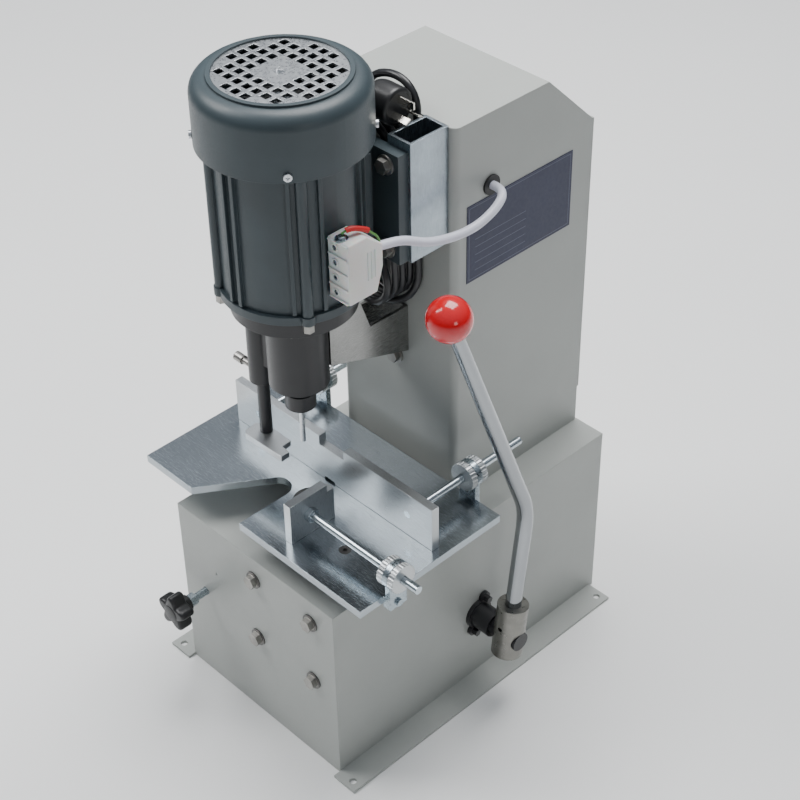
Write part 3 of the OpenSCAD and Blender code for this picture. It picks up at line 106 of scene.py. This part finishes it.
def material(
    name, colour, rough, metal=0.0, drift=0.06, rough_drift=0.06, patch=18.0,
    grain=900.0, stretch=(1, 1, 1), relief=0.00002, edge=0.0006, coat=0.0, dirt=None, sockets=(),
):
    made = bpy.data.materials.new(name)
    made.use_nodes = True
    tree = made.node_tree
    shader = tree.nodes["Principled BSDF"]
    even = stretched(tree, (1, 1, 1))
    drawn = stretched(tree, stretch)
    low = tuple(max(c * (1 - drift), 0) for c in colour)
    high = tuple(min(c * (1 + drift), 1) for c in colour)
    colour_out = mix_colour(tree, spread(tree, noise(tree, even, patch), 0, 1), low, high)
    if dirt:
        stain = spread(tree, noise(tree, even, patch * 5, 8.0, 0.7), 0, dirt[1], 0.56, 0.78)
        mix = tree.nodes.new("ShaderNodeMix")
        mix.data_type = "RGBA"
        tree.links.new(stain, mix.inputs["Factor"])
        tree.links.new(colour_out, mix.inputs["A"])
        mix.inputs["B"].default_value = (*dirt[0], 1)
        colour_out = mix.outputs["Result"]
    tree.links.new(colour_out, shader.inputs["Base Color"])
    fine = noise(tree, drawn, grain)
    rough_out = spread(tree, fine, max(rough - rough_drift, 0.02), min(rough + rough_drift, 1))
    tree.links.new(rough_out, shader.inputs["Roughness"])
    bump = tree.nodes.new("ShaderNodeBump")
    bump.inputs["Strength"].default_value = 1.0
    bump.inputs["Distance"].default_value = relief
    tree.links.new(fine, bump.inputs["Height"])
    if edge:
        soft = tree.nodes.new("ShaderNodeBevel")
        soft.samples = 6
        soft.inputs["Radius"].default_value = edge
        tree.links.new(soft.outputs["Normal"], bump.inputs["Normal"])
    tree.links.new(bump.outputs["Normal"], shader.inputs["Normal"])
    shader.inputs["Metallic"].default_value = metal
    shader.inputs["Coat Weight"].default_value = coat
    for key, value in sockets:
        shader.inputs[key].default_value = value
    return made


STEEL_ALONG_X = (1, 40, 40)
STEEL_ALONG_Y = (40, 1, 40)
STEEL_ALONG_Z = (40, 40, 1)
cover_paint = material("cover_paint", (0.38, 0.395, 0.375), 0.40, drift=0.025, grain=520, relief=0.000025,
    edge=0.0012)
base_paint = material("base_paint", (0.38, 0.395, 0.375), 0.38, drift=0.03, grain=520, relief=0.000025,
    edge=0.0012)
motor_paint = material("motor_paint", (0.036, 0.052, 0.060), 0.42, drift=0.12, grain=650, relief=0.00004,
    edge=0.0008)
black_paint = material("black_paint", (0.012, 0.012, 0.014), 0.36, drift=0.2, grain=700, relief=0.00003)
ground_steel = material("ground_steel", (0.38, 0.42, 0.45), 0.22, 1.0, drift=0.08, grain=110,
    stretch=STEEL_ALONG_X,
    relief=0.000012, rough_drift=0.09, dirt=((0.30, 0.31, 0.32), 0.35))
zinc = material("zinc", (0.38, 0.44, 0.48), 0.27, 1.0, drift=0.12, patch=60, grain=500, relief=0.000015,
    rough_drift=0.1)
tube_steel = material("tube_steel", (0.36, 0.41, 0.45), 0.30, 1.0, drift=0.14, patch=40, grain=90,
    stretch=STEEL_ALONG_Z, relief=0.00001, rough_drift=0.1, edge=0.0012)
milled = material("milled", (0.50, 0.52, 0.53), 0.34, 1.0, drift=0.05, grain=130, stretch=STEEL_ALONG_X,
    relief=0.00002, rough_drift=0.1, dirt=((0.40, 0.41, 0.42), 0.3))
milled_side = material("milled_side", (0.52, 0.54, 0.55), 0.34, 1.0, drift=0.05, grain=130,
    stretch=STEEL_ALONG_Z,
    relief=0.00002, rough_drift=0.1)
rod_steel = material("rod_steel", (0.52, 0.58, 0.62), 0.24, 1.0, drift=0.08, grain=900, relief=0.00003)
chrome = material("chrome", (0.33, 0.345, 0.36), 0.10, 1.0, drift=0.03, grain=300, relief=0.000004,
    rough_drift=0.04)
nickel = material("nickel", (0.25, 0.245, 0.225), 0.34, 1.0, drift=0.12, patch=70, grain=260, relief=0.00002,
    rough_drift=0.1)
dark_steel = material("dark_steel", (0.16, 0.155, 0.15), 0.38, 1.0, drift=0.2, patch=90, grain=500,
    relief=0.00003)
bolt_steel = material("bolt_steel", (0.34, 0.33, 0.31), 0.36, 1.0, drift=0.2, patch=120, grain=600,
    relief=0.00003)
bracket_steel = material("bracket_steel", (0.30, 0.30, 0.29), 0.25, 1.0, drift=0.1, grain=100,
    stretch=STEEL_ALONG_Y, relief=0.00001, rough_drift=0.08)
iron = material("iron", (0.16, 0.165, 0.17), 0.6, 0.8, drift=0.2, grain=300, relief=0.0001)
grille_steel = material("grille_steel", (0.66, 0.68, 0.70), 0.30, 1.0, drift=0.05, grain=400, relief=0.00001)
red_plastic = material("red_plastic", (0.62, 0.004, 0.010), 0.16, drift=0.04, grain=200, relief=0.000004,
    edge=0,
    coat=0.5, rough_drift=0.05)
black_plastic = material("black_plastic", (0.012, 0.012, 0.013), 0.38, drift=0.25, grain=700, relief=0.00003)
black_rubber = material("black_rubber", (0.014, 0.014, 0.015), 0.55, drift=0.25, grain=700, relief=0.00004)
cord_sheath = material("cord_sheath", (0.013, 0.013, 0.015), 0.33, drift=0.2, grain=500, relief=0.00002,
    edge=0)
white_plastic = material("white_plastic", (0.80, 0.80, 0.77), 0.35, drift=0.04, grain=400, relief=0.00001,
    sockets=(("Subsurface Weight", 0.35), ("Subsurface Scale", 0.004)))
white_sheath = material("white_sheath", (0.72, 0.73, 0.82), 0.36, drift=0.03, grain=500, relief=0.00001,
    edge=0)
green_sheath = material("green_sheath", (0.10, 0.28, 0.06), 0.35, drift=0.1, grain=500, relief=0.00001,
    edge=0)
red_sleeve = material("red_sleeve", (0.60, 0.02, 0.02), 0.4, drift=0.1, grain=500, relief=0.00001, edge=0)
label_blue = material("label_blue", (0.018, 0.022, 0.060), 0.50, drift=0.08, grain=300, relief=0.000004,
    edge=0.0003)
label_pale = material("label_pale", (0.10, 0.11, 0.19), 0.4, drift=0.05, grain=300, relief=0.000004, edge=0)
copper = material("copper", (0.60, 0.28, 0.12), 0.4, 1.0, drift=0.1, grain=900, relief=0.0002)
brass = material("brass", (0.80, 0.77, 0.70), 0.2, 1.0, drift=0.05, grain=600, relief=0.00001)

NODE_LOOKS = {
    cover_paint: ["column_cover", "rear_panel"],
    base_paint: ["base_housing"],
    motor_paint: ["motor_frame", "lower_end_bell", "fan_cowl"],
    black_paint: ["spindle_housing", "lever_bearings", "spindle_nose", "presser_rod", "lever_shaft"],
    ground_steel: ["work_table"],
    zinc: ["side_bracket", "rear_brackets", "lock_stud"],
    tube_steel: ["motor_tubes"],
    milled: ["fence"],
    milled_side: ["stop_block", "presser_foot", "nuts_right", "nuts_left", "nuts_stop"],
    rod_steel: ["fence_rods", "stop_rod"],
    chrome: ["lever_rod", "lift_posts", "spindle_shaft"],
    nickel: ["lever_hub"],
    dark_steel: ["guide_washers", "table_screws", "lock_bar", "inner_post"],
    bolt_steel: ["guide_bolts", "motor_bolts", "tie_bolts"],
    bracket_steel: ["spindle_bracket"],
    iron: ["guide_block", "table_carrier", "lift_arm", "rotor", "bearings"],
    grille_steel: ["fan_grille", "pan_screws", "drill_bit"],
    red_plastic: ["lever_ball", "switch_rocker"],
    black_plastic: ["lock_knob", "mains_plug", "switch_body", "drill_pad", "cooling_fan"],
    black_rubber: ["cable_grommets"],
    cord_sheath: ["mains_cord"],
    white_plastic: ["terminal_block", "capacitor"],
    white_sheath: ["motor_cable"],
    green_sheath: ["earth_lead"],
    label_blue: ["label_plate"],
    copper: ["stator"],
    brass: ["plug_pins"],
}
for look, names in NODE_LOOKS.items():
    for node in names:
        body = nodes[node]
        if not body.material_slots:
            body.data.materials.append(look)
        for place in body.material_slots:
            place.material = look


# Cords: the same routes as the solids, in mm

def on_curve(a, b, c, d, t):
    return 0.5 * (2 * b + (c - a) * t + (2 * a - 5 * b + 4 * c - d) * t**2 + (3 * b - a - 3 * c + d) * t**3)


def smooth(route, steps):
    p = [Vector(point) for point in route]
    last = len(p) - 1
    made = [
        on_curve(p[max(i - 1, 0)], p[i], p[i + 1], p[min(i + 2, last)], s / steps)
        for i in range(last)
        for s in range(steps)
    ]
    return made + [p[last]]


def curve_piece(name, points, radius, look):
    data = bpy.data.curves.new(name, "CURVE")
    data.dimensions = "3D"
    data.bevel_depth = radius
    data.bevel_resolution = 5
    data.use_fill_caps = True
    spline = data.splines.new("POLY")
    spline.points.add(len(points) - 1)
    for knot, point in zip(spline.points, points):
        knot.co = (*point, 1)
    spline.use_smooth = True
    data.materials.append(look)
    piece = bpy.data.objects.new(name, data)
    bpy.context.scene.collection.objects.link(piece)
    return piece


CORD_D = 7
HANK_TURNS = 3
HANK_X = 27
HANK_LOW = 424
HANK_HIGH = 607
HANK_Y0 = -24.5
HANK_STEP = 9
HANK_KNOTS = 48
OUTER_R = 35
OUTER_KNOTS = 24
BEND_KNOTS = 16
RELIEF_R = 5
RELIEF_THIN = 0.8
PLUG = (-7, -13, 628)
LEAD_IN = [(13, 12.8, 500), (13, 8, 500), (13, 1, 499), (13, -8, 494), (15, -16, 484), (21, -21, 471),
    (26, -22, 459)]
LEAD_OVER = [(-27, 8.5, 550), (-27, 8.5, 590), (-25.5, 8.5, 612), (-21, 8.5, 624), (-12, 8.5, 633),
    (1.5, 8.5, 638.7), (13.5, 8.5, 640), (24, 8.5, 637), (31.5, 8.5, 630), (35, 8.5, 620.5), (35, 8.5, 608),
    (35, 8.5, 568), (35, 8.5, 508)]
HANK_RUN = HANK_HIGH - HANK_LOW - 2 * HANK_X
HANK_BEND = math.pi * HANK_X
HANK_TURN = 2 * (HANK_RUN + HANK_BEND)


def hank_point(s):
    m = s % HANK_TURN
    y = HANK_Y0 + HANK_STEP * s / HANK_TURN
    if m < HANK_RUN:
        return Vector((HANK_X, y, HANK_HIGH - HANK_X - m))
    if m < HANK_RUN + HANK_BEND:
        a = math.pi * (m - HANK_RUN) / HANK_BEND
        return Vector((HANK_X * math.cos(a), y, HANK_LOW + HANK_X - HANK_X * math.sin(a)))
    if m < 2 * HANK_RUN + HANK_BEND:
        return Vector((-HANK_X, y, HANK_LOW + HANK_X + m - HANK_RUN - HANK_BEND))
    a = math.pi * (m - 2 * HANK_RUN - HANK_BEND) / HANK_BEND
    return Vector((-HANK_X * math.cos(a), y, HANK_HIGH - HANK_X + HANK_X * math.sin(a)))


def hank_turns():
    start = HANK_RUN
    end = HANK_TURNS * HANK_TURN + HANK_RUN + HANK_BEND + HANK_RUN / 2
    count = round((end - start) / HANK_TURN * HANK_KNOTS)
    return [hank_point(start + (end - start) * i / count) for i in range(count + 1)]


def outer_turn():
    """The last turn runs under the others and up the left side, and bends into the plug."""
    y0 = LEAD_OVER[-1][1]
    y1 = PLUG[1]
    centre_z = HANK_LOW + HANK_X
    low = [
        Vector((OUTER_R * math.cos(a), y0 + (y1 - y0) * a / math.pi, centre_z - OUTER_R * math.sin(a)))
        for a in (math.pi * k / OUTER_KNOTS for k in range(OUTER_KNOTS + 1))
    ]
    bend = PLUG[0] + OUTER_R
    high = [
        Vector((PLUG[0] - bend * math.cos(a), y1, PLUG[2] - bend + bend * math.sin(a)))
        for a in (math.pi / 2 * k / BEND_KNOTS for k in range(BEND_KNOTS + 1))
    ]
    return low + high


def make_mains_cord(carried):
    points = [p * MM for p in smooth(LEAD_IN, 5) + hank_turns() + smooth(LEAD_OVER, 5) + outer_turn()]
    piece = curve_piece("mains_lead", points, CORD_D / 2 * MM, cord_sheath)
    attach(piece, "machine")
    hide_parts("mains_cord")


CABLE_ROUTE = [(80, -83, 546), (85, -59, 543), (91, -35, 533), (95, -9, 528), (97, 15, 528),
    (97, 35, 533), (95, 48, 539), (89, 55, 541), (82, 57, 541.5), (73, 56.8, 541.5)]
LEAD_ROUTE = [(73, -114, 569.5), (75, -108, 572), (77, -100, 570), (79, -92, 566), (80, -87, 561),
    (80.5, -83, 557), (80.5, -79.7, 550.3)]


def make_motor_leads():
    points = [p * MM for p in smooth(CABLE_ROUTE, 6)]
    cable = curve_piece("white_cable", points, 4 * MM, white_sheath)
    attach(cable, "machine")
    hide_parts("motor_cable")
    points = [p * MM for p in smooth(LEAD_ROUTE, 6)]
    lead = curve_piece("earth_wire", points, 1 * MM, green_sheath)
    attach(lead, "machine")
    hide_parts("earth_lead")
    sleeve = curve_piece("earth_sleeve", points[4:20], 2.4 * MM, red_sleeve)
    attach(sleeve, "machine")


# Detailed pieces that stand for plainer solids

def mesh_piece(name, bm, look, body, slot_name, *replaced):
    mesh = bpy.data.meshes.new(name)
    bm.to_mesh(mesh)
    bm.free()
    for face in mesh.polygons:
        face.use_smooth = True
    mesh.set_sharp_from_angle(angle=math.radians(38))
    mesh.materials.append(look)
    piece = bpy.data.objects.new(name, mesh)
    bpy.context.scene.collection.objects.link(piece)
    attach(piece, body)
    if replaced:
        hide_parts(*replaced)
    return piece


def lathe(bm, profile, place, steps=64):
    """Turns (radius, height) pairs in mm round the local Z axis, and puts them with a matrix in metres."""
    rings = []
    for r, z in profile:
        if r < 0.001:
            rings.append([bm.verts.new(place @ Vector((0, 0, z * MM)))])
            continue
        rings.append([
            bm.verts.new(place @ Vector((r * MM * math.cos(a), r * MM * math.sin(a), z * MM)))
            for a in (2 * math.pi * k / steps for k in range(steps))
        ])
    for low, high in zip(rings, rings[1:]):
        for k in range(steps):
            n = (k + 1) % steps
            corners = [low[k % len(low)], low[n % len(low)], high[n % len(high)], high[k % len(high)]]
            unique = list(dict.fromkeys(corners))
            if len(unique) > 2:
                bm.faces.new(unique)


def rounded(profile_corner_r, radius, z0, z1, steps=5):
    """A closed (radius, height) profile of a plain disc whose outer edges are rounded."""
    r = profile_corner_r
    low = [(radius - r + r * math.sin(a), z0 + r - r * math.cos(a))
        for a in (math.pi / 2 * k / steps for k in range(steps + 1))]
    high = [(radius - r + r * math.cos(a), z1 - r + r * math.sin(a))
        for a in (math.pi / 2 * k / steps for k in range(steps + 1))]
    return [(0, z0)] + low + high + [(0, z1)]


def placed(x, y, z, axis="Z"):
    turn = {"Z": Matrix.Identity(4), "X": Matrix.Rotation(math.pi / 2, 4, "Y"),
        "-X": Matrix.Rotation(-math.pi / 2, 4, "Y"), "Y": Matrix.Rotation(-math.pi / 2, 4, "X"),
        "-Y": Matrix.Rotation(math.pi / 2, 4, "X")}[axis]
    return Matrix.Translation(Vector((x, y, z)) * MM) @ turn


LEVER = Vector((153, 11.5, 84))
LEVER_TILT = math.radians(7.2)
LEVER_LEAN = math.radians(20.9)
LEVER_LOW = 151.9
LEVER_UP = 289.5
LEVER_SOCKET = 24.5
LEVER_BEND = 22
LEVER_R = 8
LEVER_TIP_R = 6.5


def make_lever_rod():
    low = Vector((0, math.sin(LEVER_TILT), math.cos(LEVER_TILT)))
    up = Vector((0, -math.sin(LEVER_LEAN), math.cos(LEVER_LEAN)))
    bend = LEVER + low * LEVER_LOW
    points = [LEVER + low * LEVER_SOCKET]
    for k in range(13):
        t = k / 12
        before = (bend - low * LEVER_BEND) * (1 - t) ** 2
        points.append(before + bend * 2 * t * (1 - t) + (bend + up * LEVER_BEND) * t**2)
    points.append(bend + up * (LEVER_UP - 12))
    piece = curve_piece("bent_rod", [p * MM for p in points], LEVER_R * MM, chrome)
    piece.data.bevel_resolution = 10
    piece.data.splines[0].points[-1].radius = LEVER_TIP_R / LEVER_R
    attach(piece, "lever")
    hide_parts("lever_rod")


def make_ball():
    low = Vector((0, math.sin(LEVER_TILT), math.cos(LEVER_TILT)))
    up = Vector((0, -math.sin(LEVER_LEAN), math.cos(LEVER_LEAN)))
    centre = LEVER + low * LEVER_LOW + up * LEVER_UP
    turn = Matrix.Translation(centre * MM) @ up.to_track_quat("Z", "Y").to_matrix().to_4x4()
    flat = -18.6
    profile = [(0, flat)]
    start = math.asin(flat / 20)
    for k in range(33):
        a = start + (math.pi / 2 - start) * k / 32
        profile.append((20 * math.cos(a), 20 * math.sin(a)))
    bm = bmesh.new()
    lathe(bm, profile, turn, 72)
    mesh_piece("ball_knob", bm, red_plastic, "lever", "red_plastic", "lever_ball")


KNOB = (-78.3, -205, 113)
KNOB_R = 16.4
KNOB_LOBE = 3.6


def make_star_knob():
    """Five lobes, round at their edges, on a round boss."""
    bm = bmesh.new()
    place = placed(*KNOB, "-Y")
    steps = 120
    thickness = 16
    rounding = 3.5
    layers = []
    for k in range(7):
        a = math.pi / 2 * k / 6
        layers.append((rounding * (1 - math.sin(a)), rounding * (1 - math.cos(a))))
    heights = [(inset, z) for inset, z in layers] + [(inset, thickness - z) for inset, z in reversed(layers)]
    rings = []
    for inset, z in heights:
        ring = []
        for k in range(steps):
            a = 2 * math.pi * k / steps
            r = KNOB_R + KNOB_LOBE * math.cos(5 * (a - math.radians(18))) - inset
            ring.append(bm.verts.new(place @ (Vector((r * math.cos(a), r * math.sin(a), z)) * MM)))
        rings.append(ring)
    for low, high in zip(rings, rings[1:]):
        for k in range(steps):
            bm.faces.new((low[k], low[(k + 1) % steps], high[(k + 1) % steps], high[k]))
    bm.faces.new(list(reversed(rings[0])))
    bm.faces.new(rings[-1])
    lathe(bm, [(0, -6), (8.4, -6), (9, -5.4), (9, 1), (0, 1)], place)
    top = thickness + 0.8
    lathe(bm, [(0, thickness - 1), (9, thickness - 1), (9, thickness + 0.4), (8, top), (0, top)], place)
    mesh_piece("star_knob", bm, black_plastic, "table_lock", "black_plastic", "lock_knob")


PLUG_R = 17


def make_plug():
    """Round three-pin plug: ribbed neck, flared grip and a flat face with a rounded rim."""
    profile = [(0, 0), (4.6, 0), (5.2, 1), (5.2, 3), (4.7, 3.4), (4.7, 4.2), (5.6, 4.6), (5.6, 6.6), (5.1, 7),
        (5.1, 7.8), (6.2, 8.2), (6.4, 10.4), (8, 12.2), (11.8, 13.6), (14.4, 15), (16, 17), (16.7, 20),
        (PLUG_R, 24), (PLUG_R, 39), (16.7, 41), (15.9, 42.3), (14.8, 42.9), (13.4, 43), (13.2, 42.4), (0, 42.4)]
    bm = bmesh.new()
    lathe(bm, profile, placed(*PLUG, "X"), 72)
    return mesh_piece("plug_body", bm, black_plastic, "machine", "black_plastic", "mains_plug")


TERM_LOW = (61, -119, 507)
TERM_HIGH = (86, -81, 565)
EARTH_SCREW = (73, -114, 565)
TERM_OUTLINE = [(-119, 507), (-88, 507), (-81, 530), (-81, 551), (-98, 565), (-119, 565)]


def rounded_box(bm, low, high, radius, steps=3):
    """A box with rounded edges, given by its corners in mm."""
    made = bmesh.ops.create_cube(bm, size=1)["verts"]
    centre = (Vector(low) + Vector(high)) / 2
    size = Vector(high) - Vector(low)
    for v in made:
        v.co = Vector([v.co[k] * size[k] + centre[k] for k in range(3)]) * MM
    edges = list({e for v in made for e in v.link_edges})
    bmesh.ops.bevel(bm, geom=edges, offset=radius * MM, segments=steps, profile=0.5, affect="EDGES")


def make_terminal_block():
    """Cover with sloped rear corners, ribs on its side, four wire entries in front and an earth screw."""
    x0, y0, z0 = TERM_LOW
    x1, y1, z1 = TERM_HIGH
    bm = bmesh.new()
    left = [bm.verts.new(Vector((x0, y, z)) * MM) for y, z in TERM_OUTLINE]
    right = [bm.verts.new(Vector((x1, y, z)) * MM) for y, z in TERM_OUTLINE]
    count = len(TERM_OUTLINE)
    for k in range(count):
        n = (k + 1) % count
        bm.faces.new((left[k], left[n], right[n], right[k]))
    bm.faces.new(list(reversed(left)))
    bm.faces.new(right)
    bmesh.ops.recalc_face_normals(bm, faces=bm.faces)
    bmesh.ops.bevel(bm, geom=list(bm.edges), offset=1.6 * MM, segments=4, profile=0.5, affect="EDGES")
    for y in (y1 - 17, y1 - 13, y1 - 9):
        rounded_box(bm, (x1 - 1, y - 0.6, z0 + 16), (x1 + 0.6, y + 0.6, z1 - 15), 0.3, 2)
    rows = 4
    pitch = (z1 - z0) / rows
    for row in range(rows + 1):
        z = min(max(z0 + pitch * row, z0 + 1.6), z1 - 1.6)
        rounded_box(bm, (x0 + 1.5, y0 - 1.4, z - 0.8), (x1 - 1.5, y0 + 1, z + 0.8), 0.3, 2)
    for row in range(rows):
        z = z0 + pitch * (row + 0.5)
        lathe(bm, [(2.6, -1), (2.6, 0.8), (3.6, 0.8), (4, 0.2), (4, -1)], placed(x0 + 9, y0, z, "-Y"), 24)
    mesh_piece("connector_block", bm, white_plastic, "machine", "white_plastic", "terminal_block")
    bm = bmesh.new()
    for row in range(rows):
        z = z0 + pitch * (row + 0.5)
        lathe(bm, [(0, 0.4), (2.3, 0.4), (2.6, 0.1), (2.6, -1)], placed(x0 + 9, y0, z, "-Y"), 20)
    lathe(bm, [(0, 0), (5.2, 0), (5.6, 0.4), (5.6, 1), (0, 1)], placed(*EARTH_SCREW), 32)
    lathe(bm, [(0, 1), (3.8, 1), (3.8, 2.4), (3, 3.2), (0, 3.4)], placed(*EARTH_SCREW), 32)
    mesh_piece("connector_screws", bm, zinc, "machine", "machined_steel")


def make_strain_reliefs():
    """Tapered sleeve round the mains lead where it bends into the plug."""
    points = [p * MM for p in outer_turn()[-BEND_KNOTS // 2 - 1:]]
    piece = curve_piece("plug_relief", points, RELIEF_R * MM, black_rubber)
    last = len(points) - 1
    for k, knot in enumerate(piece.data.splines[0].points):
        knot.radius = RELIEF_THIN + (1 - RELIEF_THIN) * k / last
    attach(piece, "machine")
    return piece


HANK_TIE_Z = 520
TIE_REACH = 9
TIE_R = 4.0
TIE_Y_MOST = 12.4
TIE_KNOTS = 48
TIE_RINGS = ((0, -2), (0.7, -2), (0.7, 2), (0, 2))


def make_hank_tie():
    """Plastic band round the runs of the hank, on each side, level with its middle."""
    for side in (-1, 1):
        runs = [p.y for p in hank_turns() if p.x * side > HANK_X - 1 and abs(p.z - HANK_TIE_Z) < TIE_REACH]
        y0 = min(runs) - TIE_R
        y1 = min(max(runs) + TIE_R, TIE_Y_MOST)
        middle = (y0 + y1) / 2
        outline = []
        for k in range(TIE_KNOTS):
            a = 2 * math.pi * k / TIE_KNOTS
            end_y = y1 - TIE_R if math.sin(a) > 0 else y0 + TIE_R
            outline.append((TIE_R * math.cos(a), TIE_R * math.sin(a) + end_y))
        bm = bmesh.new()
        rows = []
        for grow, z in TIE_RINGS:
            ring = []
            for x, y in outline:
                away = Vector((x, y - middle, 0))
                away = away * (1 + grow / away.length)
                corner = Vector((side * HANK_X + away.x, middle + away.y, HANK_TIE_Z + z))
                ring.append(bm.verts.new(corner * MM))
            rows.append(ring)
        for low, high in zip(rows, rows[1:] + rows[:1]):
            for k in range(TIE_KNOTS):
                n = (k + 1) % TIE_KNOTS
                bm.faces.new((low[k], low[n], high[n], high[k]))
        name = "hank_tie_left" if side < 0 else "hank_tie_right"
        mesh_piece(name, bm, black_plastic, "machine", "black_plastic")


def make_label():
    """A pale line inside the plate's edge and a few bare cells, with no lettering."""
    x = 75.6
    y0, y1, z0, z1 = 27.6, 162.5, 452.2, 530.9
    bm = bmesh.new()

    def strip(ya, za, yb, zb):
        corners = [(x + 0.02, ya, za), (x + 0.02, yb, za), (x + 0.02, yb, zb), (x + 0.02, ya, zb)]
        bm.faces.new([bm.verts.new(Vector(c) * MM) for c in corners])

    line = 0.5
    inset = 2.5
    strip(y0 + inset, z0 + inset, y1 - inset, z0 + inset + line)
    strip(y0 + inset, z1 - inset - line, y1 - inset, z1 - inset)
    strip(y0 + inset, z0 + inset, y0 + inset + line, z1 - inset)
    strip(y1 - inset - line, z0 + inset, y1 - inset, z1 - inset)
    for row in range(5):
        z = z0 + 10 + row * 8
        strip(y0 + 10, z, y1 - 60, z + line)
    mesh_piece("label_lines", bm, label_pale, "machine", "blue_label")


make_lever_rod()
make_ball()
make_star_knob()
make_mains_cord([make_plug(), make_strain_reliefs()])
make_motor_leads()
make_terminal_block()
make_hank_tie()
make_label()


# Floor and light

def make_stage():
    floor_look = material("floor", (0.86, 0.86, 0.85), 0.7, drift=0.01, patch=3, grain=60, relief=0.0, edge=0)
    mesh = bpy.data.meshes.new("floor")
    half = 6.0
    corners = [(-half, -half, 0), (half, -half, 0), (half, half, 0), (-half, half, 0)]
    mesh.from_pydata(corners, [], [(0, 1, 2, 3)])
    mesh.materials.append(floor_look)
    floor = bpy.data.objects.new("floor", mesh)
    bpy.context.scene.collection.objects.link(floor)


def area_light(name, place, target, size, power, colour=(1, 1, 1)):
    data = bpy.data.lights.new(name, "AREA")
    data.size = size
    data.energy = power
    data.color = colour
    light = bpy.data.objects.new(name, data)
    light.location = place
    light.rotation_euler = (Vector(target) - Vector(place)).to_track_quat("-Z", "Y").to_euler()
    bpy.context.scene.collection.objects.link(light)


def make_light():
    """A bright sky over a darker horizon, with soft lamps above."""
    world = bpy.data.worlds.new("world")
    world.use_nodes = True
    tree = world.node_tree
    parts = tree.nodes.new("ShaderNodeSeparateXYZ")
    tree.links.new(tree.nodes.new("ShaderNodeTexCoord").outputs["Generated"], parts.inputs["Vector"])
    ramp = tree.nodes.new("ShaderNodeValToRGB")
    ramp.color_ramp.elements[0].position = 0.05
    ramp.color_ramp.elements[0].color = (0.10, 0.11, 0.12, 1)
    ramp.color_ramp.elements[1].position = 0.75
    ramp.color_ramp.elements[1].color = (0.86, 0.92, 1.0, 1)
    tree.links.new(parts.outputs["Z"], ramp.inputs["Fac"])
    tree.links.new(ramp.outputs["Color"], tree.nodes["Background"].inputs["Color"])
    tree.nodes["Background"].inputs["Strength"].default_value = 0.55
    bpy.context.scene.world = world
    area_light("key", (-1.4, -0.9, 2.3), (0, 0, 0.35), 1.2, 44)
    area_light("top", (-0.2, 0.7, 2.7), (0, 0, 0.4), 1.6, 90)
    area_light("fill", (2.2, -0.6, 1.0), (0, 0, 0.3), 0.5, 3, (1.0, 0.97, 0.93))


make_stage()
make_light()
